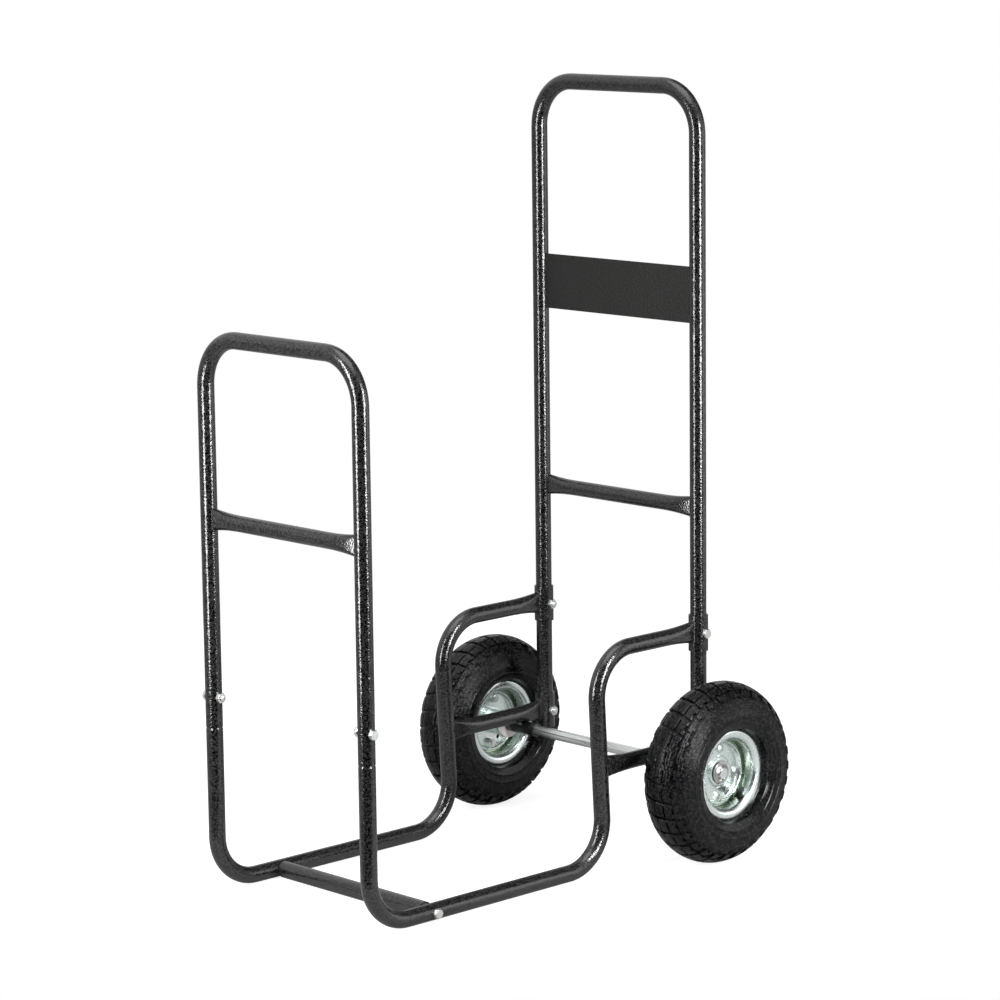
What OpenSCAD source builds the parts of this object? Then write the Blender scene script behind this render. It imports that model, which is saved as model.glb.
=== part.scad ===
// Fireside log cart: a bolted steel tube frame on two pneumatic wheels.
// Millimetres, +Z up. The rails and both tyres rest on Z = 0, the open front is at -Y and the
// handle at +Y. "Right" is the +X side and "left" the -X side, as seen from the front.

/* [Frame] */
// Outside diameter of the frame tube
tube_od = 23.5; // [20:0.5:28]
// Wall thickness of the frame tube
tube_wall = 1.5; // [1.2:0.1:2]
// Radius of every bend, at the tube's centreline
bend_r = 66; // [55:1:75]
// Distance between the left and right uprights, centre to centre
frame_w = 315; // [280:5:360]
// Distance from the front uprights to the handle uprights, centre to centre
frame_d = 636; // [580:2:720]
// Height of the front frame, floor to the top of its tube
front_h = 786; // [700:2:860]
// Height of the handle frame, floor to the top of its tube
handle_h = 1102; // [1000:2:1200]

/* [Base] */
// Height of the centreline of the arch's level run
arch_z = 316.5; // [300:0.5:340]
// Distance from the handle uprights forward to the foot of the arch leg
arch_reach = 194; // [185:1:210]
// Lean of the arch leg towards the front, in degrees
arch_lean = 3; // [0:0.5:5]
// Height of a tube end pressed flat for welding
flat_h = 32; // [28:0.5:35]
// Length over which a tube is pressed flat
flat_len = 44; // [35:1:50]
// Distance from the front uprights back to the floor cross tube
cross_back = 110; // [100:1:160]

/* [Crossbars and plate] */
// Outside diameter of the two crossbars
bar_od = 22.2; // [19:0.1:24]
// Height of a crossbar's end pressed flat for welding
bar_flat_h = 31; // [28:0.5:32]
// Height of the front frame's crossbar
front_bar_z = 525.5; // [460:0.5:600]
// Height of the handle frame's crossbar
handle_bar_z = 495.5; // [440:0.5:560]
// Height of the middle of the plate
plate_z = 798; // [700:1:860]
// Height of the plate itself
plate_h = 80; // [60:1:100]
// Thickness of the plate
plate_t = 2; // [1.5:0.1:3]

/* [Frame joints] */
// Height of the joint line where the front frame drops over the base tubes
joint_z = 235; // [220:1:260]
// Length of the reduced end that enters the front frame's leg
spigot_len = 62; // [55:1:80]
// Height of the front joint's bolt above the joint line
joint_bolt_up = 42; // [30:1:45]
// Radial clearance of the reduced end in the front frame's leg
spigot_fit = 0.2; // [0.1:0.05:0.3]
// Outside diameter of the four sleeves that hold the handle uprights
sleeve_od = 28.5; // [28:0.5:31]
// Length of a sleeve
sleeve_len = 52; // [46:1:60]
// Radial clearance of an upright in its sleeve
sleeve_fit = 0.25; // [0.1:0.05:0.3]
// Height of the middle of the upper sleeves
upper_sleeve_z = 314.5; // [312:0.5:318]
// Gap left at every welded seam
weld_gap = 0.1; // [0.05:0.05:0.2]

/* [Frame fasteners] */
// Thread diameter of the frame's bolts
bolt_d = 8; // [6:1:8]
// Width across the flats of their heads and nuts
bolt_af = 13; // [12:0.5:14]
// Thickness of a bolt head
head_t = 5.3; // [4:0.1:6]
// Thickness of a nut
nut_t = 6.5; // [5:0.1:7]
// Length of thread that stands out of a nut
thread_out = 2; // [1:0.5:4]
// Radial clearance of a bolt in its hole
bolt_fit = 0.15; // [0.1:0.05:0.3]
// Length of the threaded insert in each end of the floor cross tube
insert_len = 22; // [16:1:30]

/* [Axle] */
// Diameter of the axle
axle_d = 16; // [14:0.5:18]
// Distance from the handle uprights forward to the axle
axle_ahead = 42; // [36:1:50]
// Outside diameter of the sleeves that carry the axle
axle_sleeve_od = 20; // [19.5:0.5:24]
// Length of a sleeve that carries the axle
axle_sleeve_len = 58; // [50:1:62]
// How far such a sleeve reaches inwards past the middle of the brace
axle_sleeve_in = 25; // [15:1:32]
// Outside diameter of the nylon spacers
spacer_od = 40; // [34:0.5:44]
// Thickness of the nylon spacers
spacer_t = 4.5; // [3:0.5:6]
// Outside diameter of the end washers
washer_od = 30; // [24:0.5:32]
// Thickness of the end washers
washer_t = 2; // [1.5:0.1:3]
// Outside diameter of the toothed rings that are pushed onto the axle's ends
retainer_od = 27; // [24:0.5:30]
// Number of slots between the teeth of such a ring
retainer_slots = 8; // [6:1:10]
// Length of axle that stands out of such a ring
axle_tip = 2; // [1:0.5:4]
// Side play of each wheel, on either side of its hub
side_play = 0.4; // [0.3:0.1:0.8]

/* [Wheels] */
// Outside diameter of the tyres
tyre_od = 260; // [250:1:270]
// Width of a tyre's section
tyre_w = 85; // [80:1:88]
// Thickness of a tyre's wall under the tread
tyre_wall = 9; // [8:0.5:10]
// Depth of the grooves that run round the tread
groove_d = 3.5; // [2:0.5:4.5]
// Width of the grooves that run round the tread
groove_w = 2.4; // [2:0.2:4]
// Wall thickness of an inner tube
inner_tube_t = 2; // [1.5:0.1:3]

/* [Rims and hubs] */
// Thickness of the rims' pressed sheet
rim_sheet = 1.6; // [1.4:0.1:1.8]
// Outside radius of a rim's lip
lip_r = 63.5; // [62:0.5:66]
// Width of a rim over its two lips
rim_w = 56; // [52:1:60]
// Outside radius of the seat for the tyre's bead
bead_r = 51; // [50:0.5:52]
// Radius of the raised bead round a rim's centre disc
disc_r = 44; // [43.6:0.1:44.6]
// Height of that bead above the disc
disc_bead_h = 4.4; // [3:0.2:5]
// Radius of the circle that a rim's bolts lie on
rim_bolt_ring = 34; // [32:0.5:34]
// Number of bolts that hold a rim's halves together
rim_bolts = 4; // [3:1:6]
// Turn of the first bolt round the wheel from straight down, in degrees towards the front
rim_bolt_turn = 6.5; // [0:0.5:20]
// Outside diameter of a hub tube
hub_od = 38; // [36:0.5:40]
// Length of hub that reaches in from the tyre's middle plane, towards the frame
hub_in = 37.1; // [32:0.1:45]
// Length of hub that stands out past the tyre's middle plane, on the outer side
hub_out = 6; // [5.8:0.2:10]
// Outside diameter of a ball bearing
bearing_od = 35; // [33:0.5:35]
// Width of a ball bearing
bearing_w = 11; // [9:0.5:12]
// Number of balls in a bearing
balls = 8; // [7:1:8]
// Diameter of a ball
ball_d = 5.5; // [5:0.1:5.6]
// Diameter of a valve stem
valve_d = 9.5; // [8:0.5:10]
// Length of a valve stem outside the rim
valve_len = 19; // [15:1:22]
// Direction of the valve round the wheel, in degrees from the rear towards the floor
valve_turn = 50; // [35:1:60]

/* [Hidden] */
$fn = 64;

LEFT = -1;
RIGHT = 1;
overlap = 1;

// Places along Y. The overall box is centred on Y = 0, from the front tubes to the tyres' backs.
cart_d = tube_od / 2 + frame_d - axle_ahead + tyre_od / 2;
front_y = tube_od / 2 - cart_d / 2;
handle_y = front_y + frame_d;
axle_y = handle_y - axle_ahead;
cross_y = front_y + cross_back;

// Places along X and Z
side_x = frame_w / 2;
rail_z = tube_od / 2;
axle_z = tyre_od / 2;
brace_z = axle_z + axle_sleeve_od / 2 + tube_od / 2 + weld_gap;
lower_sleeve_z = brace_z;
foot_z = lower_sleeve_z - sleeve_len / 2;
joint_bolt_z = joint_z + joint_bolt_up;

// A bend starts this far inside the straight stretches beside it, and bending has thinned its
// wall by this much on both faces. A pressed end starts inside its tube the same way.
seam = 0.4;
thinning = 0.1;

// A tube keeps its girth when it is pressed flat, which gives its thickness there
flat_t = (PI * tube_od - 2 * flat_h) / (PI - 2);
bar_flat_t = (PI * bar_od - 2 * bar_flat_h) / (PI - 2);

// Fits of the frame
spigot_od = tube_od - 2 * tube_wall - 2 * spigot_fit;
sleeve_id = tube_od + 2 * sleeve_fit;
hole_d = bolt_d + 2 * bolt_fit;
shoulder_h = 3;

// The arch leg: where its centreline meets the rail's and the level run's
leg_foot_y = handle_y - arch_reach;
leg_rail_y = leg_foot_y - rail_z * tan(arch_lean);
leg_top_y = leg_foot_y - arch_z * tan(arch_lean);
bend_reach = bend_r * tan((90 + arch_lean) / 2);

// The axle and what is on it, from the frame outwards
axle_fit = 0.05;
axle_sleeve_start = side_x - axle_sleeve_in;
axle_sleeve_end = axle_sleeve_start + axle_sleeve_len;
wheel_x = axle_sleeve_end + spacer_t + side_play + hub_in;
hub_face_x = wheel_x + hub_out;
washer_x = hub_face_x + side_play;
retainer_x = washer_x + washer_t;
retainer_h = 3;
axle_end_x = retainer_x + retainer_h + axle_tip;

// The rim's sheet, as points of radius and distance from the middle plane. The two halves of a
// rim meet face to face at the disc and the floor, and the lip is a quarter round with a flange.
rim_half = rim_w / 2;
seat_r = bead_r - rim_sheet / 2;
floor_h = rim_sheet / 2;
lip_z = rim_half - rim_sheet / 2;
lip_bend = 8;
lip_path = concat(
    [for (turn = [0 : 22.5 : 90])
        [seat_r + lip_bend * (1 - cos(turn)), lip_z - lip_bend * (1 - sin(turn))]],
    [[lip_r, lip_z]]
);
rim_path = concat([
    [hub_od / 2 + weld_gap, floor_h],
    [disc_r - 2.8, floor_h],
    [disc_r - 1.6, floor_h + disc_bead_h - 1],
    [disc_r - 0.7, floor_h + disc_bead_h],
    [disc_r + 0.3, floor_h + disc_bead_h],
    [disc_r + 1.2, floor_h + disc_bead_h - 1],
    [disc_r + 2.4, floor_h],
    [seat_r - 1.8, floor_h],
    [seat_r - 0.5, floor_h + 0.5],
    [seat_r, floor_h + 1.8]
], lip_path);
rim_head_r = 6.4;
rim_head_h = 4;
rim_seat_gap = 0.3;

// The tyre's section
section_r = tyre_w / 2;
section_mid = tyre_od / 2 - section_r;
cavity_r = section_r - tyre_wall;
bead_half = rim_half - 12;
tread_turn = [-34, -12, 12, 34];

// The hub's bearings
bearing_in = 1;
race_r = (axle_d + bearing_od) / 4;
race_fit = 0.1;
ring_t = 2.4;
shield_t = 0.8;

// The valve: it leaves the bead seat and leans outwards
valve_h = 9;
valve_lean = 46;
valve_fit = 0.15;
cap_len = 9;
cap_od = 8;

steel_black = [0.16, 0.16, 0.17];
zinc = [0.78, 0.8, 0.78];
rubber = [0.12, 0.12, 0.12];
nylon = [0.88, 0.85, 0.84];

// ---- Shapes that repeat ----

function unit(v) = v / norm(v);
function left_of(v) = [-v[1], v[0]];
// Point i of a path moved sideways by d, with a mitre at its corner
function mitre(path, i, d) =
    let (
        last = len(path) - 1,
        before = unit(path[max(i, 1)] - path[max(i, 1) - 1]),
        after = unit(path[min(i, last - 1) + 1] - path[min(i, last - 1)]),
        side = unit(left_of(before) + left_of(after))
    )
    path[i] + side * d / (side * left_of(before));
// Both faces of a sheet of thickness t along a path
function sheet(path, t) = concat(
    [for (i = [0 : len(path) - 1]) mitre(path, i, t / 2)],
    [for (i = [len(path) - 1 : -1 : 0]) mitre(path, i, -t / 2)]
);

// Section of a tube
module ring(od, wall) {
    difference() {
        circle(d = od);
        circle(d = od - 2 * wall);
    }
}

// Section of a tube end pressed flat, tall along Y
module flat_section(height, thickness) {
    square([thickness, height - thickness], center = true);
    for (end = [-1, 1])
        translate([0, end * (height - thickness) / 2])
            circle(d = thickness, $fn = 24);
}

// Straight tube in the XY plane, from point a to point b
module straight(a, b, od = tube_od, wall = tube_wall) {
    run = b - a;
    translate([a[0], a[1], 0])
        rotate([0, 0, atan2(run[1], run[0])])
            rotate([0, 90, 0])
                linear_extrude(norm(run))
                    ring(od, wall);
}

// Bent tube in the XY plane about a centre, from one angle through a sweep
module bend(centre, from, sweep) {
    more = seam * 180 / PI / bend_r;
    translate([centre[0], centre[1], 0])
        rotate_extrude(angle = sweep + 2 * more, start = from - more)
            translate([bend_r, 0])
                ring(tube_od - 2 * thinning, tube_wall - 2 * thinning);
}

// Tube end pressed flat, along +X from just before the origin, round at the start
module pressed_end(od, height, thickness, length) {
    slice = 0.5;
    rotate([0, 90, 0])
        hull() {
            translate([0, 0, -seam])
                linear_extrude(slice)
                    circle(d = od - 3 * thinning, $fn = 32);
            translate([0, 0, length - slice])
                linear_extrude(slice)
                    flat_section(height, thickness);
        }
}

// The plane of one side of the base: X becomes the cart's Y, and Y its Z
module side_plane(side) {
    translate([side * side_x, 0, 0])
        rotate([90, 0, 90])
            children();
}

// The plane of an upright frame at depth y: X stays, and Y becomes the cart's Z
module cross_plane(y) {
    translate([0, y, 0])
        rotate([90, 0, 0])
            children();
}

// A rod along X, from x0 to x1 at a given y and z
module rod_x(x0, x1, y, z, d) {
    translate([x0, y, z])
        rotate([0, 90, 0])
            cylinder(d = d, h = x1 - x0);
}

// A hexagon along X, from x0 outwards by t
module hex_x(x0, t, y, z) {
    translate([x0, y, z])
        rotate([0, 90, 0])
            cylinder(d = bolt_af / cos(30), h = t, $fn = 6);
}

// Upside-down U of tube in the plane of a cross frame, from height foot to the top
module tube_hoop(y, foot, height) {
    top_z = height - tube_od / 2;
    bend_z = top_z - bend_r;
    bend_x = side_x - bend_r;
    cross_plane(y) {
        straight([-side_x, foot], [-side_x, bend_z]);
        bend([-bend_x, bend_z], 90, 90);
        straight([-bend_x, top_z], [bend_x, top_z]);
        bend([bend_x, bend_z], 0, 90);
        straight([side_x, foot], [side_x, bend_z]);
    }
}

// Level bar between the uprights of a cross frame, with ends pressed flat and fitted to them
module crossbar(y, z) {
    end_x = side_x - tube_od / 2 - flat_len;
    difference() {
        union() {
            cross_plane(y)
                straight([-end_x, z], [end_x, z], bar_od, tube_wall);
            for (side = [LEFT, RIGHT])
                translate([side * end_x, y, z])
                    rotate([90, 0, side == LEFT ? 180 : 0])
                        pressed_end(bar_od, bar_flat_h, bar_flat_t, flat_len + tube_od / 4);
        }
        for (side = [LEFT, RIGHT])
            translate([side * side_x, y, z - bar_flat_h])
                cylinder(d = tube_od + 2 * weld_gap, h = 2 * bar_flat_h);
    }
}

// Sleeve round a handle upright, drilled for its bolt
module upright_sleeve(side, z) {
    difference() {
        translate([side * side_x, handle_y, z - sleeve_len / 2])
            linear_extrude(sleeve_len)
                ring(sleeve_od, (sleeve_od - sleeve_id) / 2);
        rod_x(side * side_x - sleeve_od, side * side_x + sleeve_od, handle_y, z, hole_d);
    }
}

// A pair of bolts through both sides of the frame, heads outwards, through a wall of diameter od
module through_bolts(y, z, od) {
    reach = od / 2 + nut_t + thread_out;
    for (side = [LEFT, RIGHT])
        mirror([side == LEFT ? 1 : 0, 0, 0])
            union() {
                rod_x(side_x - reach, side_x + od / 2 + overlap, y, z, bolt_d);
                hex_x(side_x + od / 2, head_t, y, z);
            }
}

// The nuts of a pair of bolts, on the inner side of the frame
module through_nuts(y, z, od) {
    for (side = [LEFT, RIGHT])
        mirror([side == LEFT ? 1 : 0, 0, 0])
            difference() {
                hex_x(side_x - od / 2 - nut_t, nut_t, y, z);
                rod_x(side_x - od, side_x, y, z, bolt_d + 2 * axle_fit);
            }
}

// A wheel's own place: Z becomes the direction away from the cart, on the axle's line
module wheel_place(side) {
    translate([side * wheel_x, axle_y, axle_z])
        mirror([side == LEFT ? 1 : 0, 0, 0])
            rotate([0, 90, 0])
                children();
}

// A shape repeated round a wheel's axle, on the circle of the rim's bolts
module on_bolt_ring() {
    for (i = [0 : rim_bolts - 1])
        rotate([0, 0, i * 360 / rim_bolts - rim_bolt_turn])
            translate([rim_bolt_ring, 0, 0])
                children();
}

// ---- The frame ----

module handle_frame() {
    color(steel_black)
        difference() {
            tube_hoop(handle_y, foot_z, handle_h);
            for (z = [lower_sleeve_z, upper_sleeve_z])
                rod_x(-frame_w, frame_w, handle_y, z, hole_d);
        }
}

module handle_crossbar() {
    color(steel_black)
        crossbar(handle_y, handle_bar_z);
}

module handle_plate() {
    half = side_x - tube_od / 2 - weld_gap;
    color(steel_black)
        translate([-half, handle_y - plate_t / 2, plate_z - plate_h / 2])
            cube([2 * half, plate_t, plate_h]);
}

module front_frame() {
    color(steel_black)
        difference() {
            tube_hoop(front_y, joint_z, front_h);
            rod_x(-frame_w, frame_w, front_y, joint_bolt_z, hole_d);
        }
}

module front_crossbar() {
    color(steel_black)
        crossbar(front_y, front_bar_z);
}

// One side of the base: reduced end, front leg, rail, arch leg and level run, from one tube
module base_tube(side) {
    leg_end = bend_r * [cos(arch_lean), sin(arch_lean)];
    rail_end = [leg_rail_y - bend_reach, rail_z];
    low_centre = rail_end + [0, bend_r];
    run_start = [leg_top_y + bend_reach, arch_z];
    high_centre = run_start - [0, bend_r];
    run_end = [handle_y - sleeve_od / 2 - flat_len, arch_z];
    shoulder_z = joint_z - shoulder_h;
    color(steel_black)
        difference() {
            union() {
                side_plane(side) {
                    straight([front_y, rail_z + bend_r], [front_y, shoulder_z]);
                    bend([front_y + bend_r, rail_z + bend_r], 180, 90);
                    straight([front_y + bend_r, rail_z], rail_end);
                    bend(low_centre, 270, 90 + arch_lean);
                    straight(low_centre + leg_end, high_centre - leg_end);
                    bend(high_centre, 90, 90 + arch_lean);
                    straight(run_start, run_end);
                    translate([run_end[0], run_end[1], 0])
                        pressed_end(tube_od, flat_h, flat_t, flat_len + tube_od / 4);
                }
                translate([side * side_x, front_y, shoulder_z])
                    rotate_extrude()
                        polygon([
                            [spigot_od / 2 - tube_wall, 0],
                            [tube_od / 2, 0],
                            [spigot_od / 2, shoulder_h],
                            [spigot_od / 2, shoulder_h + spigot_len],
                            [spigot_od / 2 - tube_wall, shoulder_h + spigot_len]
                        ]);
            }
            translate([side * side_x, handle_y, arch_z - flat_h])
                cylinder(d = sleeve_od + 2 * weld_gap, h = 2 * flat_h);
            rod_x(side * side_x - tube_od, side * side_x + tube_od, front_y, joint_bolt_z, hole_d);
            rod_x(side * side_x - tube_od, side * side_x + tube_od, cross_y, rail_z, hole_d);
        }
}

module base_tube_left() { base_tube(LEFT); }
module base_tube_right() { base_tube(RIGHT); }

// Brace from the arch leg to the lower sleeve, with both ends pressed flat
module brace(side) {
    leg_y = leg_foot_y - brace_z * tan(arch_lean);
    front_end = leg_y + tube_od / 2 + flat_len;
    back_end = handle_y - sleeve_od / 2 - flat_len;
    press = flat_len + tube_od / 4;
    color(steel_black)
        difference() {
            side_plane(side) {
                straight([front_end, brace_z], [back_end, brace_z]);
                translate([back_end, brace_z, 0])
                    pressed_end(tube_od, flat_h, flat_t, press);
                translate([front_end, brace_z, 0])
                    rotate([0, 180, 0])
                        pressed_end(tube_od, flat_h, flat_t, press);
            }
            side_plane(side)
                translate([leg_y, brace_z, 0])
                    rotate([0, 0, arch_lean])
                        rotate([90, 0, 0])
                            cylinder(d = tube_od + 2 * weld_gap, h = 2 * flat_h, center = true);
            translate([side * side_x, handle_y, brace_z])
                cylinder(d = sleeve_od + 2 * weld_gap, h = 2 * flat_h, center = true);
            rod_x(side * side_x - tube_od, side * side_x + tube_od, axle_y, axle_z,
                axle_sleeve_od + 2 * weld_gap);
        }
}

module brace_left() { brace(LEFT); }
module brace_right() { brace(RIGHT); }

module upper_sleeve_left() { color(steel_black) upright_sleeve(LEFT, upper_sleeve_z); }
module upper_sleeve_right() { color(steel_black) upright_sleeve(RIGHT, upper_sleeve_z); }
module lower_sleeve_left() { color(steel_black) upright_sleeve(LEFT, lower_sleeve_z); }
module lower_sleeve_right() { color(steel_black) upright_sleeve(RIGHT, lower_sleeve_z); }

module floor_cross_tube() {
    half = side_x - tube_od / 2 - weld_gap;
    color(steel_black)
        cross_plane(cross_y)
            straight([-half, rail_z], [half, rail_z]);
}

// Threaded plugs pressed into the ends of the floor cross tube
module cross_tube_inserts() {
    outer = side_x - tube_od / 2 - weld_gap;
    color(zinc)
        for (side = [LEFT, RIGHT])
            mirror([side == LEFT ? 1 : 0, 0, 0])
                difference() {
                    rod_x(outer - insert_len, outer, cross_y, rail_z,
                        tube_od - 2 * tube_wall - 2 * axle_fit);
                    rod_x(outer - insert_len - overlap, outer + overlap, cross_y, rail_z,
                        bolt_d + 2 * axle_fit);
                }
}

// Bolts through the rails into the inserts
module cross_tube_bolts() {
    color(zinc)
        for (side = [LEFT, RIGHT])
            mirror([side == LEFT ? 1 : 0, 0, 0])
                union() {
                    rod_x(side_x - tube_od / 2 - insert_len, side_x + tube_od / 2 + overlap,
                        cross_y, rail_z, bolt_d);
                    hex_x(side_x + tube_od / 2, head_t, cross_y, rail_z);
                }
}

module front_joint_bolts() { color(zinc) through_bolts(front_y, joint_bolt_z, tube_od); }
module front_joint_nuts() { color(zinc) through_nuts(front_y, joint_bolt_z, tube_od); }
module upper_sleeve_bolts() { color(zinc) through_bolts(handle_y, upper_sleeve_z, sleeve_od); }
module upper_sleeve_nuts() { color(zinc) through_nuts(handle_y, upper_sleeve_z, sleeve_od); }
module lower_sleeve_bolts() { color(zinc) through_bolts(handle_y, lower_sleeve_z, sleeve_od); }
module lower_sleeve_nuts() { color(zinc) through_nuts(handle_y, lower_sleeve_z, sleeve_od); }

// ---- The axle ----

module axle() {
    chamfer = 1;
    color(zinc)
        translate([0, axle_y, axle_z])
            rotate([0, 90, 0])
                rotate_extrude()
                    polygon([
                        [0, -axle_end_x],
                        [axle_d / 2 - chamfer, -axle_end_x],
                        [axle_d / 2, chamfer - axle_end_x],
                        [axle_d / 2, axle_end_x - chamfer],
                        [axle_d / 2 - chamfer, axle_end_x],
                        [0, axle_end_x]
                    ]);
}

module axle_sleeve(side) {
    color(steel_black)
        mirror([side == LEFT ? 1 : 0, 0, 0])
            translate([axle_sleeve_start, axle_y, axle_z])
                rotate([0, 90, 0])
                    linear_extrude(axle_sleeve_len)
                        ring(axle_sleeve_od, (axle_sleeve_od - axle_d) / 2 - axle_fit);
}

module axle_sleeve_left() { axle_sleeve(LEFT); }
module axle_sleeve_right() { axle_sleeve(RIGHT); }

// Rings on the axle, one on each side of the cart, from x outwards by t
module axle_rings(x, od, t) {
    for (side = [LEFT, RIGHT])
        mirror([side == LEFT ? 1 : 0, 0, 0])
            translate([x, axle_y, axle_z])
                rotate([0, 90, 0])
                    linear_extrude(t)
                        ring(od, (od - axle_d) / 2 - axle_fit);
}

module axle_spacers() { color(nylon) axle_rings(axle_sleeve_end, spacer_od, spacer_t); }
module axle_end_washers() { color(zinc) axle_rings(washer_x, washer_od, washer_t); }

// Toothed spring rings pushed onto the axle's ends: a flat rim, and a slotted cone that grips
module axle_retainers() {
    grip_r = axle_d / 2 + axle_fit;
    rim_in = retainer_od / 2 - 2.2;
    slot_w = 2;
    color(zinc)
        for (side = [LEFT, RIGHT])
            mirror([side == LEFT ? 1 : 0, 0, 0])
                translate([retainer_x, axle_y, axle_z])
                    rotate([0, 90, 0])
                        difference() {
                            rotate_extrude()
                                polygon([
                                    [rim_in, 0],
                                    [retainer_od / 2, 0],
                                    [retainer_od / 2, 1],
                                    [rim_in + 0.4, 1],
                                    [grip_r + 0.5, retainer_h],
                                    [grip_r, retainer_h],
                                    [grip_r, retainer_h - 1]
                                ]);
                            for (i = [0 : retainer_slots - 1])
                                rotate([0, 0, i * 360 / retainer_slots])
                                    translate([0, -slot_w / 2, -overlap])
                                        cube([rim_in - 0.6, slot_w, retainer_h + 2 * overlap]);
                        }
}

// ---- The wheels ----

// What a rim and the room round it take out of the tyre's section
module rim_clearance() {
    seat = -rim_sheet / 2 - rim_seat_gap;
    edge = [for (i = [0 : len(lip_path) - 1]) mitre(lip_path, i, seat)];
    lip_top = lip_r + 3 * rim_seat_gap;
    for (face = [0, 1])
        mirror([0, face])
            polygon(concat(edge, [
                [lip_top, lip_z + seat],
                [lip_top + 11, section_r],
                [lip_top + 11, section_r + overlap],
                [0, section_r + overlap],
                [0, edge[0][1]]
            ]));
    translate([0, -section_r])
        square([edge[0][0], tyre_w]);
}

module tyre(side) {
    color(rubber)
        wheel_place(side)
            rotate_extrude($fn = 96)
                difference() {
                    translate([section_mid, 0])
                        circle(r = section_r);
                    translate([section_mid, 0])
                        circle(r = cavity_r);
                    translate([0, -bead_half])
                        square([section_mid, 2 * bead_half]);
                    for (turn = tread_turn)
                        translate([section_mid, 0])
                            rotate(turn)
                                translate([section_r - groove_d, -groove_w / 2])
                                    square([groove_d + overlap, groove_w]);
                    rim_clearance();
                }
}

module tyre_left() { tyre(LEFT); }
module tyre_right() { tyre(RIGHT); }

// Inner tube, blown up against the tyre's cavity and the rim
module inner_tube(side) {
    tube_r = cavity_r - rim_seat_gap;
    flat_r = bead_r + rim_seat_gap;
    color(rubber)
        wheel_place(side)
            rotate_extrude()
                difference() {
                    translate([section_mid, 0])
                        circle(r = tube_r);
                    difference() {
                        translate([section_mid, 0])
                            circle(r = tube_r - inner_tube_t);
                        translate([0, -section_r])
                            square([flat_r + inner_tube_t, tyre_w]);
                    }
                    translate([0, -section_r])
                        square([flat_r, tyre_w]);
                }
}

module inner_tube_left() { inner_tube(LEFT); }
module inner_tube_right() { inner_tube(RIGHT); }

// The line of a valve in its wheel, from the bead seat outwards
module valve_line() {
    rotate([0, 0, 90 - valve_turn])
        translate([bead_r, 0, valve_h])
            rotate([0, -valve_lean, 0])
                children();
}

// Half a rim: one pressed sheet, with a bead round its flat disc, a seat for the tyre and a lip
module rim_half_shell(with_valve) {
    difference() {
        rotate_extrude()
            polygon(sheet(rim_path, rim_sheet));
        on_bolt_ring()
            translate([0, 0, -overlap])
                cylinder(d = hole_d, h = rim_sheet + 2 * overlap);
        if (with_valve)
            valve_line()
                cylinder(d = valve_d + 2 * valve_fit, h = valve_len, center = true);
    }
}

module outer_rim_left() { color(zinc) wheel_place(LEFT) rim_half_shell(true); }
module outer_rim_right() { color(zinc) wheel_place(RIGHT) rim_half_shell(true); }
module inner_rim_left() { color(zinc) wheel_place(LEFT) mirror([0, 0, 1]) rim_half_shell(false); }
module inner_rim_right() { color(zinc) wheel_place(RIGHT) mirror([0, 0, 1]) rim_half_shell(false); }

// Domed bolts that clamp the two rim halves together
module rim_bolt_set(side) {
    dome_h = 2.6;
    dome_r = (rim_head_r * rim_head_r + dome_h * dome_h) / (2 * dome_h);
    color(zinc)
        wheel_place(side)
            on_bolt_ring()
                union() {
                    translate([0, 0, rim_sheet])
                        rotate_extrude()
                            intersection() {
                                translate([0, rim_head_h - dome_r])
                                    circle(r = dome_r);
                                square([rim_head_r, rim_head_h]);
                            }
                    translate([0, 0, -rim_sheet - nut_t - thread_out])
                        cylinder(d = bolt_d, h = 2 * rim_sheet + nut_t + thread_out + overlap);
                }
}

module rim_bolts_left() { rim_bolt_set(LEFT); }
module rim_bolts_right() { rim_bolt_set(RIGHT); }

module rim_nut_set(side) {
    color(zinc)
        wheel_place(side)
            on_bolt_ring()
                translate([0, 0, -rim_sheet - nut_t])
                    difference() {
                        rotate([0, 0, 30])
                            cylinder(d = bolt_af / cos(30), h = nut_t, $fn = 6);
                        translate([0, 0, -overlap])
                            cylinder(d = bolt_d + 2 * axle_fit, h = nut_t + 2 * overlap);
                    }
}

module rim_nuts_left() { rim_nut_set(LEFT); }
module rim_nuts_right() { rim_nut_set(RIGHT); }

// Hub tube, welded through both discs, with a seat for a bearing in each end
module hub(side) {
    seat = bearing_w + bearing_in;
    core_d = bearing_od - 3;
    color(zinc)
        wheel_place(side)
            rotate_extrude()
                polygon([
                    [bearing_od / 2, -hub_in],
                    [hub_od / 2, -hub_in],
                    [hub_od / 2, hub_out],
                    [bearing_od / 2, hub_out],
                    [bearing_od / 2, hub_out - seat],
                    [core_d / 2, hub_out - seat],
                    [core_d / 2, seat - hub_in],
                    [bearing_od / 2, seat - hub_in]
                ]);
}

module hub_left() { hub(LEFT); }
module hub_right() { hub(RIGHT); }

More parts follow.
